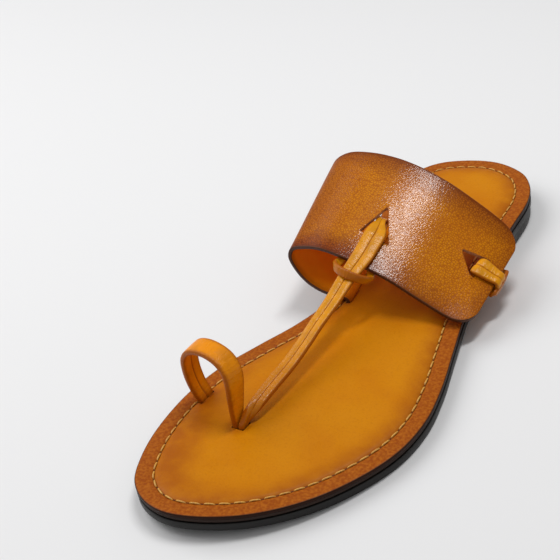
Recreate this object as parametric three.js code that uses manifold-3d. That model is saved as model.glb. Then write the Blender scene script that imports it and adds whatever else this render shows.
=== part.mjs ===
// A flat leather slide sandal for the left foot: three sole layers, a wide instep band,
// a big-toe loop and two lace thongs hitched through slits in the band.
// Millimetres. X runs to the little-toe side, Y from the toe to the heel, Z up from the floor.

import * as THREE from 'three';
import { mergeVertices } from 'three/addons/utils/BufferGeometryUtils.js';
import Module from 'manifold-3d';

const wasm = await Module();
wasm.setup();

// Driving sizes of the sole
const soleLength = 255;
const ballWidth = 93.2;
const outsoleThickness = 3.3;
const boardThickness = 1.3;
const footbedThickness = 1.5;
const heelLift = 5.1;
const toeSpring = 3.7;
const footbedCrown = 0.8;
const stitchMargin = 6.8;
const grooveDepth = 0.4;
const heelBlockInset = 0.5;
const meetingGap = 0.3;
const slotClearance = 0.6;

// Driving sizes of the instep band
const bandLength = 52.5;
const bandWall = 1.7;
const bandRise = 37.5;
const bandCorner = 9;
const slitWidth = 0.9;

// Driving sizes of the toe loop
const loopWidth = 9;
const loopThickness = 2.3;
const loopRise = 28.4;
const loopSpan = 21.9;
const loopLean = 1.2;

// Driving sizes of the laces, flat, folded in on themselves and gathered at the post
const laceWidth = 4.4;
const laceThickness = 1.8;
const foldedThickness = 2.4;
const gatheredWidth = 2.3;

// Places along the sole, as shares of its length from the toe
const springShare = 0.22;
const heelRiseStart = 0.42;
const heelRiseEnd = 0.78;
const heelBreastShare = 0.7;
const bandFrontShare = 0.5176;
const postShare = 0.198;
const loopSlotShare = 0.232;

// Places across the sole, as shares of the ball width from the middle line
const postAcross = -0.101;
const bandSlotFront = -0.106;
const bandSlotRear = -0.2;
const sideSlotAcross = 0.33;

// The sole's outline: share of the length from the toe, share of the ball width
const tipAcross = -0.054;
const heelAcross = -0.011;
const lateralEdge = [
  { along: 0.012, across: 0.075 },
  { along: 0.045, across: 0.231 },
  { along: 0.1, across: 0.378 },
  { along: 0.165, across: 0.486 },
  { along: 0.24, across: 0.562 },
  { along: 0.31, across: 0.575 },
  { along: 0.38, across: 0.544 },
  { along: 0.47, across: 0.478 },
  { along: 0.56, across: 0.417 },
  { along: 0.68, across: 0.368 },
  { along: 0.8, across: 0.341 },
  { along: 0.885, across: 0.317 },
  { along: 0.935, across: 0.267 },
  { along: 0.975, across: 0.177 },
];
const medialEdge = [
  { along: 0.008, across: -0.166 },
  { along: 0.035, across: -0.27 },
  { along: 0.08, across: -0.343 },
  { along: 0.14, across: -0.399 },
  { along: 0.22, across: -0.425 },
  { along: 0.3, across: -0.399 },
  { along: 0.37, across: -0.333 },
  { along: 0.44, across: -0.258 },
  { along: 0.5, across: -0.214 },
  { along: 0.57, across: -0.212 },
  { along: 0.66, across: -0.247 },
  { along: 0.78, across: -0.317 },
  { along: 0.88, across: -0.359 },
  { along: 0.935, across: -0.336 },
  { along: 0.975, across: -0.247 },
];

// The band's front and rear sections, from beside the footbed over the instep to its free
// little-toe edge: shares of the ball width across, shares of the band's rise above the footbed
const bandSections = [
  { frontAcross: -0.245, frontRise: 0.09, rearAcross: -0.327, rearRise: 0.1 },
  { frontAcross: -0.31, frontRise: 0.165, rearAcross: -0.397, rearRise: 0.2 },
  { frontAcross: -0.36, frontRise: 0.295, rearAcross: -0.454, rearRise: 0.375 },
  { frontAcross: -0.387, frontRise: 0.46, rearAcross: -0.479, rearRise: 0.6 },
  { frontAcross: -0.366, frontRise: 0.576, rearAcross: -0.451, rearRise: 0.816 },
  { frontAcross: -0.3, frontRise: 0.632, rearAcross: -0.367, rearRise: 0.96 },
  { frontAcross: -0.215, frontRise: 0.653, rearAcross: -0.241, rearRise: 1.005 },
  { frontAcross: -0.107, frontRise: 0.605, rearAcross: -0.107, rearRise: 0.981 },
  { frontAcross: 0.011, frontRise: 0.523, rearAcross: 0.016, rearRise: 0.901 },
  { frontAcross: 0.129, frontRise: 0.413, rearAcross: 0.132, rearRise: 0.779 },
  { frontAcross: 0.252, frontRise: 0.261, rearAcross: 0.252, rearRise: 0.605 },
  { frontAcross: 0.37, frontRise: 0.125, rearAcross: 0.37, rearRise: 0.408 },
  { frontAcross: 0.484, frontRise: 0.033, rearAcross: 0.478, rearRise: 0.179 },
];

// The toe loop's middle line, from its post over the toe to its slot on the big-toe side:
// shares of the loop's span, of its rise above the footbed and of its width
const loopSections = [
  { across: 0, rise: 0.252, wide: 0.78 },
  { across: -0.01, rise: 0.459, wide: 0.98 },
  { across: -0.012, rise: 0.645, wide: 1.08 },
  { across: 0.035, rise: 0.803, wide: 1.06 },
  { across: 0.18, rise: 0.928, wide: 1.03 },
  { across: 0.44, rise: 0.997, wide: 1 },
  { across: 0.7, rise: 0.986, wide: 1 },
  { across: 0.904, rise: 0.914, wide: 1 },
  { across: 1.046, rise: 0.769, wide: 1 },
  { across: 1.1, rise: 0.545, wide: 0.98 },
  { across: 1.09, rise: 0.321, wide: 0.95 },
  { across: 1.046, rise: 0.148, wide: 0.92 },
];
const loopSlotWide = 0.88;
const loopPostWide = 0.52;

// The toe thong between its post and the band: share of the way along, share of the height
// that it reaches over the band's front edge, its quarter turn in degrees, each lace's width
// and thickness, its swing to the little-toe side as a share of a flat lace's width, and how
// far the pair has tipped to lie on the band, from 0 to 1
const thongSections = [
  { along: 0.012, rise: 0.1, turn: 2, width: 2.3, thickness: 2.4, swing: 0.03, bank: 0 },
  { along: 0.035, rise: 0.165, turn: 14, width: 2.4, thickness: 2.4, swing: 0.11, bank: 0 },
  { along: 0.065, rise: 0.215, turn: 34, width: 2.6, thickness: 2.4, swing: 0.19, bank: 0 },
  { along: 0.105, rise: 0.26, turn: 56, width: 2.9, thickness: 2.4, swing: 0.25, bank: 0 },
  { along: 0.165, rise: 0.305, turn: 76, width: 3.1, thickness: 2.4, swing: 0.26, bank: 0 },
  { along: 0.25, rise: 0.345, turn: 88, width: 3.3, thickness: 2.4, swing: 0.22, bank: 0 },
  { along: 0.37, rise: 0.395, turn: 90, width: 3.3, thickness: 2.4, swing: 0.15, bank: 0 },
  { along: 0.5, rise: 0.5, turn: 90, width: 3.3, thickness: 2.4, swing: 0.06, bank: 0 },
  { along: 0.61, rise: 0.61, turn: 90, width: 3.3, thickness: 2.4, swing: -0.02, bank: 0.1 },
  { along: 0.76, rise: 0.735, turn: 90, width: 3.5, thickness: 2.3, swing: -0.13, bank: 0.4 },
  { along: 0.89, rise: 0.88, turn: 90, width: 3.8, thickness: 2.1, swing: -0.2, bank: 0.9 },
];

// The two hitches. Inward is the distance from the band's edge that the lace wraps, beside the
// distance along it from the hitch's place on that edge, all in millimetres on the leather.
// Each slit's two arms run from their ends to its apex, about a flap that is cut off short.
const frontHitch = {
  place: 52.5,
  apex: { inward: 28, beside: -1.15 },
  lowEnd: { inward: 14, beside: -6.85 },
  highEnd: { inward: 13.5, beside: 6.85 },
};
const sideHitch = {
  place: 26.9,
  apex: { inward: 18.1, beside: 2.35 },
  lowEnd: { inward: 9.3, beside: -6.85 },
  highEnd: { inward: 6.6, beside: 6.05 },
};
const flapShare = 0.05;
const frontRing = { reach: 8.8, half: 8.9, crown: 4.1, shift: 0.5, beside: -1.4 };
const sideRing = { reach: 3.1, half: 7, crown: -1, shift: 0.2, beside: 1.3 };

// Each lace's way through its slit and back beneath the flap: distance past the flap's tip,
// lift off the leather as a share of the lace's own, where the pair's middle lies beside the
// hitch's place, each lace's width and thickness, and how far its face has turned over
const frontThrough = [
  { past: -0.3, lift: 1, middle: 0.1, width: 5, thickness: 1.8, turn: 0 },
  { past: 3.2, lift: 0.42, middle: -0.4, width: 4.2, thickness: 1.6, turn: 22 },
  { past: 6.6, lift: -0.2, middle: -1.1, width: 2.5, thickness: 1.5, turn: 22 },
  { past: 8.9, lift: -0.64, middle: -1.4, width: 1.8, thickness: 1.4, turn: 35 },
  { past: 10.2, lift: -1.2, middle: -1.5, width: 1.6, thickness: 1.3, turn: 90 },
  { past: 9, lift: -1.72, middle: -1.4, width: 1.8, thickness: 1.4, turn: 150 },
  { past: 6.5, lift: -1.45, middle: -0.9, width: 2.9, thickness: 1.6, turn: 180 },
  { past: 1.5, lift: -1.15, middle: 0, width: 3.9, thickness: 1.7, turn: 180 },
];
const sideThrough = [
  { past: -0.3, lift: 1, middle: 0, width: 4.9, thickness: 1.8, turn: 0 },
  { past: 1.15, lift: 0.71, middle: 0.1, width: 4.5, thickness: 1.8, turn: 45 },
  { past: 1.75, lift: 0, middle: 0.2, width: 4, thickness: 1.8, turn: 90 },
  { past: 1.15, lift: -0.71, middle: 0.2, width: 3.9, thickness: 1.8, turn: 135 },
  { past: -0.3, lift: -1, middle: 0.2, width: 3.9, thickness: 1.8, turn: 180 },
];

// Each lace's width where it crosses the band's edge towards its slit
const frontEdgeWidth = 4.6;
const sideEdgeWidth = 3.6;

// Each ring from the band's edge to its middle: shares of its reach, half width and rise, and
// the way that the lace's face looks
const frontRingSections = [
  { reach: 0.1, half: 1, rise: 0.06, up: -1, inward: 0, beside: 0.8 },
  { reach: 0.55, half: 0.86, rise: 0.5, up: 0.1, inward: -0.5, beside: 1 },
  { reach: 0.87, half: 0.5, rise: 0.85, up: 0.6, inward: -0.8, beside: 0.5 },
  { reach: 1, half: 0, rise: 1, up: 0.8, inward: -0.8, beside: 0 },
  { reach: 1, half: -0.06, rise: 1, up: 0.8, inward: -0.8, beside: 0 },
];
const sideRingSections = [
  { reach: 0, half: 1, rise: 0.1, up: -0.7, inward: -1, beside: 0.3 },
  { reach: 0.4, half: 0.9, rise: 0.5, up: 0, inward: -1, beside: 0.5 },
  { reach: 0.8, half: 0.55, rise: 0.85, up: 0.2, inward: -1, beside: 0.3 },
  { reach: 1, half: 0, rise: 1, up: 0.25, inward: -1, beside: 0 },
  { reach: 1, half: -0.06, rise: 1, up: 0.25, inward: -1, beside: 0 },
];

// Two laces side by side are pressed together by this share of a width
const laceTouch = 0.88;

// Shares of the lace's width: beneath the band, where it turns out to the ring, and in the ring
const underWidth = 0.9;
const turningWidth = 0.85;
const ringWidth = 0.85;

// Shares of the way to the flap's tip where the lace is guided over the band and beneath it,
// and shares of the ring's half width that the lace has spread to beneath the band
const overShares = [0.25, 0.6, 0.88];
const underShare = 0.5;
const underSpread = 0.55;
const turningSpread = 0.88;

// The turn around the band's free edge, in degrees
const aroundEdge = [200, 225, 270, 315, 350];

// Where the side thong leaves its slot, as shares of the turn over the slot's rim
const rimBend = 0.3;
const rimPast = 1.2;

// How finely the curved walls and straps are divided
const bandAroundSteps = 68;
const bandBackSteps = 8;
const cutterSteps = 6;
const laceStep = 2.2;
const loopStep = 2.6;
const roundedCorner = 0.28;

// Shared heights
const layerGap = meetingGap;
const footbedTop = outsoleThickness + layerGap + boardThickness + layerGap + footbedThickness;
const boardTop = footbedTop - footbedThickness - layerGap;
const outsoleTop = boardTop - boardThickness - layerGap;
const slotFloor = outsoleTop - footbedTop + meetingGap;
const laceLift = bandWall / 2 + meetingGap + laceThickness / 2;

function alongAt(share) {
  return (share - 0.5) * soleLength;
}

function acrossAt(share) {
  return share * ballWidth;
}

// How far every layer rises above its own level at the ball
function rideHeight(y) {
  const share = y / soleLength + 0.5;
  const climb = THREE.MathUtils.smoothstep(share, heelRiseStart, heelRiseEnd);
  const tip = Math.max(0, 1 - share / springShare);
  return heelLift * climb + toeSpring * tip * tip;
}

function footbedHeight(y) {
  return footbedTop + rideHeight(y);
}

// Solids from meshes and meshes from solids
function meshGeometry(points, faces) {
  const geometry = new THREE.BufferGeometry();
  const flat = points.flatMap((point) => [point.x, point.y, point.z]);
  geometry.setAttribute('position', new THREE.Float32BufferAttribute(flat, 3));
  geometry.setIndex(faces.flat());
  return geometry;
}

function solidFrom(source) {
  let geometry = source.clone();
  geometry.deleteAttribute('normal');
  geometry.deleteAttribute('uv');
  geometry = mergeVertices(geometry, 1e-4);
  return new wasm.Manifold(new wasm.Mesh({
    numProp: 3,
    vertProperties: new Float32Array(geometry.attributes.position.array),
    triVerts: new Uint32Array(geometry.index.array),
  }));
}

function geometryFrom(solid) {
  const mesh = solid.getMesh();
  const geometry = new THREE.BufferGeometry();
  geometry.setAttribute('position', new THREE.Float32BufferAttribute(mesh.vertProperties, 3));
  geometry.setIndex(Array.from(mesh.triVerts));
  geometry.computeVertexNormals();
  return geometry;
}

// The outline, as matching points from toe to heel down each side
const outlineSteps = 40;
const tip = new THREE.Vector3(acrossAt(tipAcross), alongAt(0), 0);
const heelEnd = new THREE.Vector3(acrossAt(heelAcross), alongAt(1), 0);
const edgePoint = (row) => new THREE.Vector3(acrossAt(row.across), alongAt(row.along), 0);
const outlinePoints = [
  tip,
  ...lateralEdge.map(edgePoint),
  heelEnd,
  ...medialEdge.map(edgePoint).reverse(),
];
const outline = new THREE.CatmullRomCurve3(outlinePoints, true, 'centripetal');
const heelParameter = (lateralEdge.length + 1) / outlinePoints.length;

function outlineSide(from, to) {
  const fine = [];
  const fineSteps = 600;
  for (let i = 0; i <= fineSteps; i += 1) {
    const parameter = THREE.MathUtils.lerp(from, to, i / fineSteps);
    fine.push({ at: outline.getPoint(parameter), parameter });
  }
  const lengths = [0];
  for (let i = 1; i < fine.length; i += 1) {
    lengths.push(lengths[i - 1] + fine[i].at.distanceTo(fine[i - 1].at));
  }
  const side = [];
  let next = 0;
  for (let i = 0; i <= outlineSteps; i += 1) {
    const wanted = (lengths[fineSteps] * i) / outlineSteps;
    while (next < fineSteps && lengths[next] < wanted) {
      next += 1;
    }
    const { at, parameter } = fine[next];
    const run = outline.getTangent(parameter);
    side.push({ at, inward: new THREE.Vector3(-run.y, run.x, 0) });
  }
  return side;
}

const lateralSide = outlineSide(0, heelParameter);
const medialSide = outlineSide(1, heelParameter);
const outlineLoop = [...lateralSide, ...medialSide.slice(1, -1).reverse()];

// A ring of points: the outline drawn in by an inset, at a height given for each place
function ring(inset, height) {
  return outlineLoop.map(({ at, inward }) => {
    const point = at.clone().addScaledVector(inward, inset);
    point.z = height(point.y);
    return point;
  });
}

// A solid between rings from the underside to the top, capped by strips across the foot
function layered(rings) {
  const count = outlineLoop.length;
  const faces = [];
  for (let level = 0; level + 1 < rings.length; level += 1) {
    for (let i = 0; i < count; i += 1) {
      const j = (i + 1) % count;
      const low = level * count;
      const high = low + count;
      faces.push([low + i, low + j, high + j], [low + i, high + j, high + i]);
    }
  }
  const topStart = (rings.length - 1) * count;
  for (let i = 0; i < outlineSteps; i += 1) {
    const here = [i, (count - i) % count];
    const there = [i + 1, count - i - 1];
    const strip = [];
    if (here[0] !== here[1]) {
      strip.push([here[0], there[0], here[1]]);
    }
    if (there[0] !== there[1]) {
      strip.push([here[1], there[0], there[1]]);
    }
    for (const [a, b, c] of strip) {
      faces.push([a, c, b], [topStart + a, topStart + b, topStart + c]);
    }
  }
  return meshGeometry(rings.flat(), faces);
}

// A slot's cutter, upright, drawn along a line on the floor
function uprightSlab(from, to, width, bottom, top) {
  const run = to.clone().sub(from).normalize();
  const beside = new THREE.Vector2(-run.y, run.x).multiplyScalar(width / 2);
  const shape = new THREE.Shape([
    from.clone().add(beside),
    from.clone().sub(beside),
    to.clone().sub(beside),
    to.clone().add(beside),
  ]);
  const geometry = new THREE.ExtrudeGeometry(shape, { depth: top - bottom, bevelEnabled: false });
  geometry.translate(0, 0, bottom);
  return geometry;
}

// Places of the straps on the sole
const postY = alongAt(postShare);
const postX = acrossAt(postAcross);
const loopSlotY = alongAt(loopSlotShare);
const loopSlotX = postX - loopSpan;
const thongX = postX + loopThickness / 2 + meetingGap + foldedThickness / 2;
const bandFrontY = alongAt(bandFrontShare);
const bandRearY = bandFrontY + bandLength;
const bandSlotFrontX = acrossAt(bandSlotFront);
const bandSlotRearX = acrossAt(bandSlotRear);
const sideSlotX = acrossAt(sideSlotAcross);
const sideSlotY = bandFrontY + sideHitch.place;

function slotCutters() {
  const bottom = -meetingGap;
  const top = footbedTop + heelLift + toeSpring + footbedCrown + meetingGap;
  const slot = (x, y, length, low, high) => uprightSlab(
    new THREE.Vector2(x, y - length / 2 - slotClearance),
    new THREE.Vector2(x, y + length / 2 + slotClearance),
    high - low + slotClearance * 2,
    bottom,
    top,
  ).translate((low + high) / 2, 0, 0);
  const run = new THREE.Vector2(bandSlotRearX - bandSlotFrontX, bandLength).normalize();
  const bandFrom = new THREE.Vector2(bandSlotFrontX, bandFrontY);
  const bandTo = new THREE.Vector2(bandSlotRearX, bandRearY);
  bandFrom.addScaledVector(run, -slotClearance);
  bandTo.addScaledVector(run, slotClearance);
  const halfLoop = loopThickness / 2;
  const halfLace = laceThickness / 2;
  return [
    uprightSlab(bandFrom, bandTo, bandWall + slotClearance * 2, bottom, top),
    slot(postX, postY, loopWidth * loopPostWide, -halfLoop, thongX + foldedThickness / 2 - postX),
    slot(loopSlotX, loopSlotY, loopWidth * loopSlotWide, -halfLoop, halfLoop),
    slot(sideSlotX, sideSlotY, laceWidth * 2, -halfLace, halfLace),
  ].map(solidFrom);
}

// The sole's three layers
const rubberEdge = 0.6;
const leatherEdge = 0.5;
const grooveHalf = 1.1;
const cushionSlope = 5;
const cushionStart = 0.3;

function makeOutsole() {
  const top = (y) => outsoleTop + rideHeight(y);
  const underside = (y) => top(y) - outsoleThickness;
  const plate = solidFrom(layered([
    ring(rubberEdge, underside),
    ring(0, (y) => underside(y) + rubberEdge),
    ring(0, top),
  ]));
  const blockTop = (y) => underside(y) + outsoleThickness / 2;
  const block = solidFrom(layered([
    ring(heelBlockInset + rubberEdge, () => 0),
    ring(heelBlockInset, () => rubberEdge),
    ring(heelBlockInset, blockTop),
  ]));
  const breastY = alongAt(heelBreastShare);
  const behindBreast = new THREE.BoxGeometry(ballWidth * 2, soleLength, soleLength);
  behindBreast.translate(0, breastY + soleLength / 2, 0);
  const heelBlock = block.intersect(solidFrom(behindBreast));
  return geometryFrom(plate.add(heelBlock));
}

function makeBoard(cutters) {
  const top = (y) => boardTop + rideHeight(y);
  const underside = (y) => top(y) - boardThickness;
  const sheet = solidFrom(layered([
    ring(leatherEdge, underside),
    ring(leatherEdge, top),
  ]));
  return geometryFrom(cutters.reduce((solid, cutter) => solid.subtract(cutter), sheet));
}

function makeFootbed(cutters) {
  const top = (y) => footbedTop + rideHeight(y);
  const underside = (y) => top(y) - footbedThickness;
  const sheet = solidFrom(layered([
    ring(leatherEdge / 2, underside),
    ring(0, (y) => underside(y) + leatherEdge),
    ring(0, (y) => top(y) - leatherEdge),
    ring(leatherEdge, top),
    ring(stitchMargin - grooveHalf, top),
    ring(stitchMargin, (y) => top(y) - grooveDepth),
    ring(stitchMargin + grooveHalf, (y) => top(y) + footbedCrown * cushionStart),
    ring(stitchMargin + grooveHalf + cushionSlope, (y) => top(y) + footbedCrown),
  ]));
  return geometryFrom(cutters.reduce((solid, cutter) => solid.subtract(cutter), sheet));
}

// The instep band is a wall about a ruled surface between its front and rear sections.
// Its big-toe end stands in its slot, turns over the slot's rim and lies on the footbed.
function bandSectionCurve(slotX, acrossKey, riseKey) {
  const rim = footbedCrown + meetingGap;
  const turn = bandWall / 2 + slotClearance + meetingGap;
  const lying = rim + bandWall / 2 + meetingGap;
  const softTurn = turn * (1 - Math.SQRT1_2);
  const start = [
    new THREE.Vector3(slotX, 0, slotFloor),
    new THREE.Vector3(slotX, 0, slotFloor / 2),
    new THREE.Vector3(slotX, 0, lying - turn),
    new THREE.Vector3(slotX - softTurn, 0, lying - softTurn),
    new THREE.Vector3(slotX - turn, 0, lying),
    new THREE.Vector3(slotX - turn * 3, 0, lying),
  ];
  const free = bandSections.map((row) => (
    new THREE.Vector3(acrossAt(row[acrossKey]), 0, bandRise * row[riseKey])
  ));
  return new THREE.CatmullRomCurve3([...start, ...free], false, 'centripetal');
}

const bandFrontCurve = bandSectionCurve(bandSlotFrontX, 'frontAcross', 'frontRise');
const bandRearCurve = bandSectionCurve(bandSlotRearX, 'rearAcross', 'rearRise');

// A point on the band's middle surface: around from the slot to the free edge, and back
// from the front edge. Both may run past the leather's edges.
function bandSurface(around, back) {
  const held = THREE.MathUtils.clamp(around, 0, 1);
  const front = bandFrontCurve.getPoint(held);
  const rear = bandRearCurve.getPoint(held);
  const point = front.lerp(rear, back);
  point.y = bandFrontY + bandLength * back;
  point.z += footbedHeight(point.y);
  return point;
}

const bandArc = [];
const bandArcSteps = 480;
for (let i = 0; i <= bandArcSteps; i += 1) {
  const at = bandSurface(i / bandArcSteps, 0.5);
  const before = bandArc[i - 1];
  bandArc.push({ at, length: before ? before.length + at.distanceTo(before.at) : 0 });
}
const bandGirth = bandArc[bandArcSteps].length;

// A frame on the band's surface, from distances on the leather in from the free edge and
// back from the front edge
function onBand(fromFreeEdge, fromFront) {
  const wanted = bandGirth - Math.max(0, fromFreeEdge);
  let next = 1;
  while (next < bandArcSteps && bandArc[next].length < wanted) {
    next += 1;
  }
  const span = bandArc[next].length - bandArc[next - 1].length;
  const share = (wanted - bandArc[next - 1].length) / span;
  const around = (next - 1 + share) / bandArcSteps;
  const back = fromFront / bandLength;
  const step = 0.004;
  const point = bandSurface(around, back);
  const ahead = bandSurface(Math.min(1, around + step), back);
  const lateral = ahead.sub(bandSurface(Math.min(1, around + step) - step * 2, back)).normalize();
  const rearward = bandSurface(around, back + step).sub(bandSurface(around, back - step));
  const up = new THREE.Vector3().crossVectors(lateral, rearward).normalize();
  rearward.normalize();
  point.addScaledVector(lateral, Math.max(0, -fromFreeEdge));
  return { point, lateral, rearward, up };
}

// How much shorter the band is at a distance from its free edge, by its round corners
function cornerInset(fromFreeEdge) {
  const reach = Math.max(0, bandCorner - fromFreeEdge);
  return bandCorner - Math.sqrt(bandCorner * bandCorner - reach * reach);
}

// A closed wall over a grid of frames, between two lifts above the surface
function wallFromFrames(rows, lowLift, highLift) {
  const across = rows[0].length;
  const lift = (frame, amount) => frame.point.clone().addScaledVector(frame.up, amount);
  const frames = rows.flat();
  const points = [
    ...frames.map((frame) => lift(frame, lowLift)),
    ...frames.map((frame) => lift(frame, highLift)),
  ];
  const top = frames.length;
  const faces = [];
  for (let i = 0; i + 1 < rows.length; i += 1) {
    for (let j = 0; j + 1 < across; j += 1) {
      const a = i * across + j;
      const b = a + across;
      faces.push([a, a + 1, b + 1], [a, b + 1, b]);
      faces.push([top + a, top + b + 1, top + a + 1], [top + a, top + b, top + b + 1]);
    }
  }
  const rim = [];
  for (let j = 0; j + 1 < across; j += 1) {
    rim.push([j, j + 1]);
  }
  for (let i = 0; i + 1 < rows.length; i += 1) {
    rim.push([i * across + across - 1, (i + 1) * across + across - 1]);
  }
  for (let j = across - 1; j > 0; j -= 1) {
    rim.push([top - across + j, top - across + j - 1]);
  }
  for (let i = rows.length - 1; i > 0; i -= 1) {
    rim.push([i * across, (i - 1) * across]);
  }
  for (const [a, b] of rim) {
    faces.push([a, top + b, b], [a, top + a, top + b]);
  }
  return meshGeometry(points, faces);
}

// Frames for a hitch: distance in from the edge that the lace wraps, and beside its middle
function frontFrame(inward, beside) {
  const frame = onBand(frontHitch.place - beside, inward);
  return { point: frame.point, up: frame.up, inward: frame.rearward, beside: frame.lateral };
}

function sideFrame(inward, beside) {
  const frame = onBand(inward, sideHitch.place + beside);
  const inwardRun = frame.lateral.clone().negate();
  return { point: frame.point, up: frame.up, inward: inwardRun, beside: frame.rearward };
}

// A place on one of a slit's arms, from its end to the apex
function onArm(end, hitch, share) {
  return {
    inward: THREE.MathUtils.lerp(end.inward, hitch.apex.inward, share),
    beside: THREE.MathUtils.lerp(end.beside, hitch.apex.beside, share),
  };
}

// How far in the short flap reaches at a place beside the hitch's middle
function flapTip(hitch, beside) {
  const low = onArm(hitch.lowEnd, hitch, flapShare);
  const high = onArm(hitch.highEnd, hitch, flapShare);
  const share = (beside - low.beside) / (high.beside - low.beside);
  return THREE.MathUtils.lerp(low.inward, high.inward, share);
}

// A cutter through the band between four corners, each inward and beside
function bandCutter(frameAt, corners) {
  const rows = [];
  for (let i = 0; i <= cutterSteps; i += 1) {
    const row = [];
    for (let j = 0; j <= 2; j += 1) {
      const near = corners[0].clone().lerp(corners[1], i / cutterSteps);
      const far = corners[3].clone().lerp(corners[2], i / cutterSteps);
      const place = near.lerp(far, j / 2);
      row.push(frameAt(place.x, place.y));
    }
    rows.push(row);
  }
  const depth = bandWall;
  const cutter = solidFrom(wallFromFrames(rows, -depth, depth));
  return cutter.volume() > 0 ? cutter : solidFrom(wallFromFrames(rows, depth, -depth));
}

function slitCutters(frameAt, hitch) {
  const corner = (place, aside) => new THREE.Vector2(place.inward, place.beside + aside);
  const half = slitWidth / 2;
  const armShare = flapShare + slitWidth / (hitch.apex.inward - hitch.lowEnd.inward);
  const open = bandCutter(frameAt, [
    corner(onArm(hitch.lowEnd, hitch, flapShare), 0),
    corner(onArm(hitch.highEnd, hitch, flapShare), 0),
    corner(hitch.apex, half),
    corner(hitch.apex, -half),
  ]);
  const arms = [{ end: hitch.lowEnd, side: -1 }, { end: hitch.highEnd, side: 1 }].map((arm) => {
    const inner = onArm(arm.end, hitch, armShare);
    return bandCutter(frameAt, [
      corner(arm.end, -half),
      corner(arm.end, half),
      corner(inner, half - arm.side * half),
      corner(inner, -half - arm.side * half),
    ]);
  });
  return [open, ...arms];
}

function makeBand() {
  const rows = [];
  for (let i = 0; i <= bandAroundSteps; i += 1) {
    const around = i / bandAroundSteps;
    const place = around * bandArcSteps;
    const low = bandArc[Math.floor(place)].length;
    const high = bandArc[Math.ceil(place)].length;
    const fromFreeEdge = bandGirth - THREE.MathUtils.lerp(low, high, place % 1);
    const inset = cornerInset(fromFreeEdge);
    const row = [];
    for (let j = 0; j <= bandBackSteps; j += 1) {
      const fromFront = THREE.MathUtils.lerp(inset, bandLength - inset, j / bandBackSteps);
      row.push(onBand(fromFreeEdge, fromFront));
    }
    rows.push(row);
  }
  let wall = solidFrom(wallFromFrames(rows, -bandWall / 2, bandWall / 2));
  for (const cutter of slitCutters(frontFrame, frontHitch)) {
    wall = wall.subtract(cutter);
  }
  for (const cutter of slitCutters(sideFrame, sideHitch)) {
    wall = wall.subtract(cutter);
  }
  return geometryFrom(wall);
}

// A strap swept through a list of knots. Each knot has its middle, the direction that its
// face looks, its width and its thickness.
function sweptStrap(knots, stepLength) {
  const curve = new THREE.CatmullRomCurve3(knots.map((knot) => knot.at), false, 'centripetal');
  const steps = Math.ceil(curve.getLength() / stepLength);
  const points = [];
  for (let i = 0; i <= steps; i += 1) {
    const parameter = curve.getUtoTmapping(i / steps);
    const place = parameter * (knots.length - 1);
    const low = Math.min(knots.length - 2, Math.floor(place));
    const share = place - low;
    const at = curve.getPoint(parameter);
    const run = curve.getTangent(parameter);
    const face = knots[low].face.clone().lerp(knots[low + 1].face, share);
    face.addScaledVector(run, -face.dot(run)).normalize();
    const side = new THREE.Vector3().crossVectors(run, face);
    const between = (size) => THREE.MathUtils.lerp(knots[low][size], knots[low + 1][size], share);
    const half = between('width') / 2;
    const deep = between('thickness') / 2;
    const corner = deep * 2 * roundedCorner;
    const section = [
      [half, -deep + corner], [half, deep - corner], [half - corner, deep], [corner - half, deep],
      [-half, deep - corner], [-half, corner - deep], [corner - half, -deep], [half - corner, -deep],
    ];
    for (const [wide, high] of section) {
      points.push(at.clone().addScaledVector(side, wide).addScaledVector(face, high));
    }
  }
  const count = 8;
  const faces = [];
  for (let i = 0; i < steps; i += 1) {
    for (let j = 0; j < count; j += 1) {
      const a = i * count + j;
      const b = i * count + ((j + 1) % count);
      faces.push([a, b + count, b], [a, a + count, b + count]);
    }
  }
  const last = steps * count;
  for (let j = 1; j + 1 < count; j += 1) {
    faces.push([0, j, j + 1], [last, last + j + 1, last + j]);
  }
  return meshGeometry(points, faces);
}

// The big-toe loop: up from its post, over and down into its slot
function makeLoop() {
  const count = loopSections.length;
  const middle = (index) => THREE.MathUtils.lerp(postY, loopSlotY, (index + 1) / (count + 1));
  const heights = [slotFloor, slotFloor / 2, footbedCrown + meetingGap];
  const upright = (x, y, wide) => heights.map((height) => ({
    at: new THREE.Vector3(x, y, footbedHeight(y) + height),
    wide,
  }));
  const knots = loopSections.map((row, index) => {
    const y = middle(index) + loopLean * row.rise;
    const z = footbedHeight(y) + loopRise * row.rise;
    return { at: new THREE.Vector3(postX - loopSpan * row.across, y, z), wide: row.wide };
  });
  const path = [
    ...upright(postX, postY, loopPostWide),
    ...knots,
    ...upright(loopSlotX, loopSlotY, loopSlotWide).reverse(),
  ];
  const middleX = postX - loopSpan / 2;
  const middleZ = footbedHeight(postY) + loopRise / 2;
  const backward = new THREE.Vector3(0, 1, 0);
  const curve = new THREE.CatmullRomCurve3(path.map((place) => place.at), false, 'centripetal');
  const strap = path.map(({ at, wide }, index) => {
    const run = curve.getTangent(index / (path.length - 1));
    const face = new THREE.Vector3().crossVectors(run, backward).normalize();
    const away = new THREE.Vector3(at.x - middleX, 0, at.z - middleZ);
    if (face.dot(away) < 0) {
      face.negate();
    }
    return { at, face, width: loopWidth * wide, thickness: loopThickness };
  });
  return geometryFrom(solidFrom(sweptStrap(strap, loopStep)));
}

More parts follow.
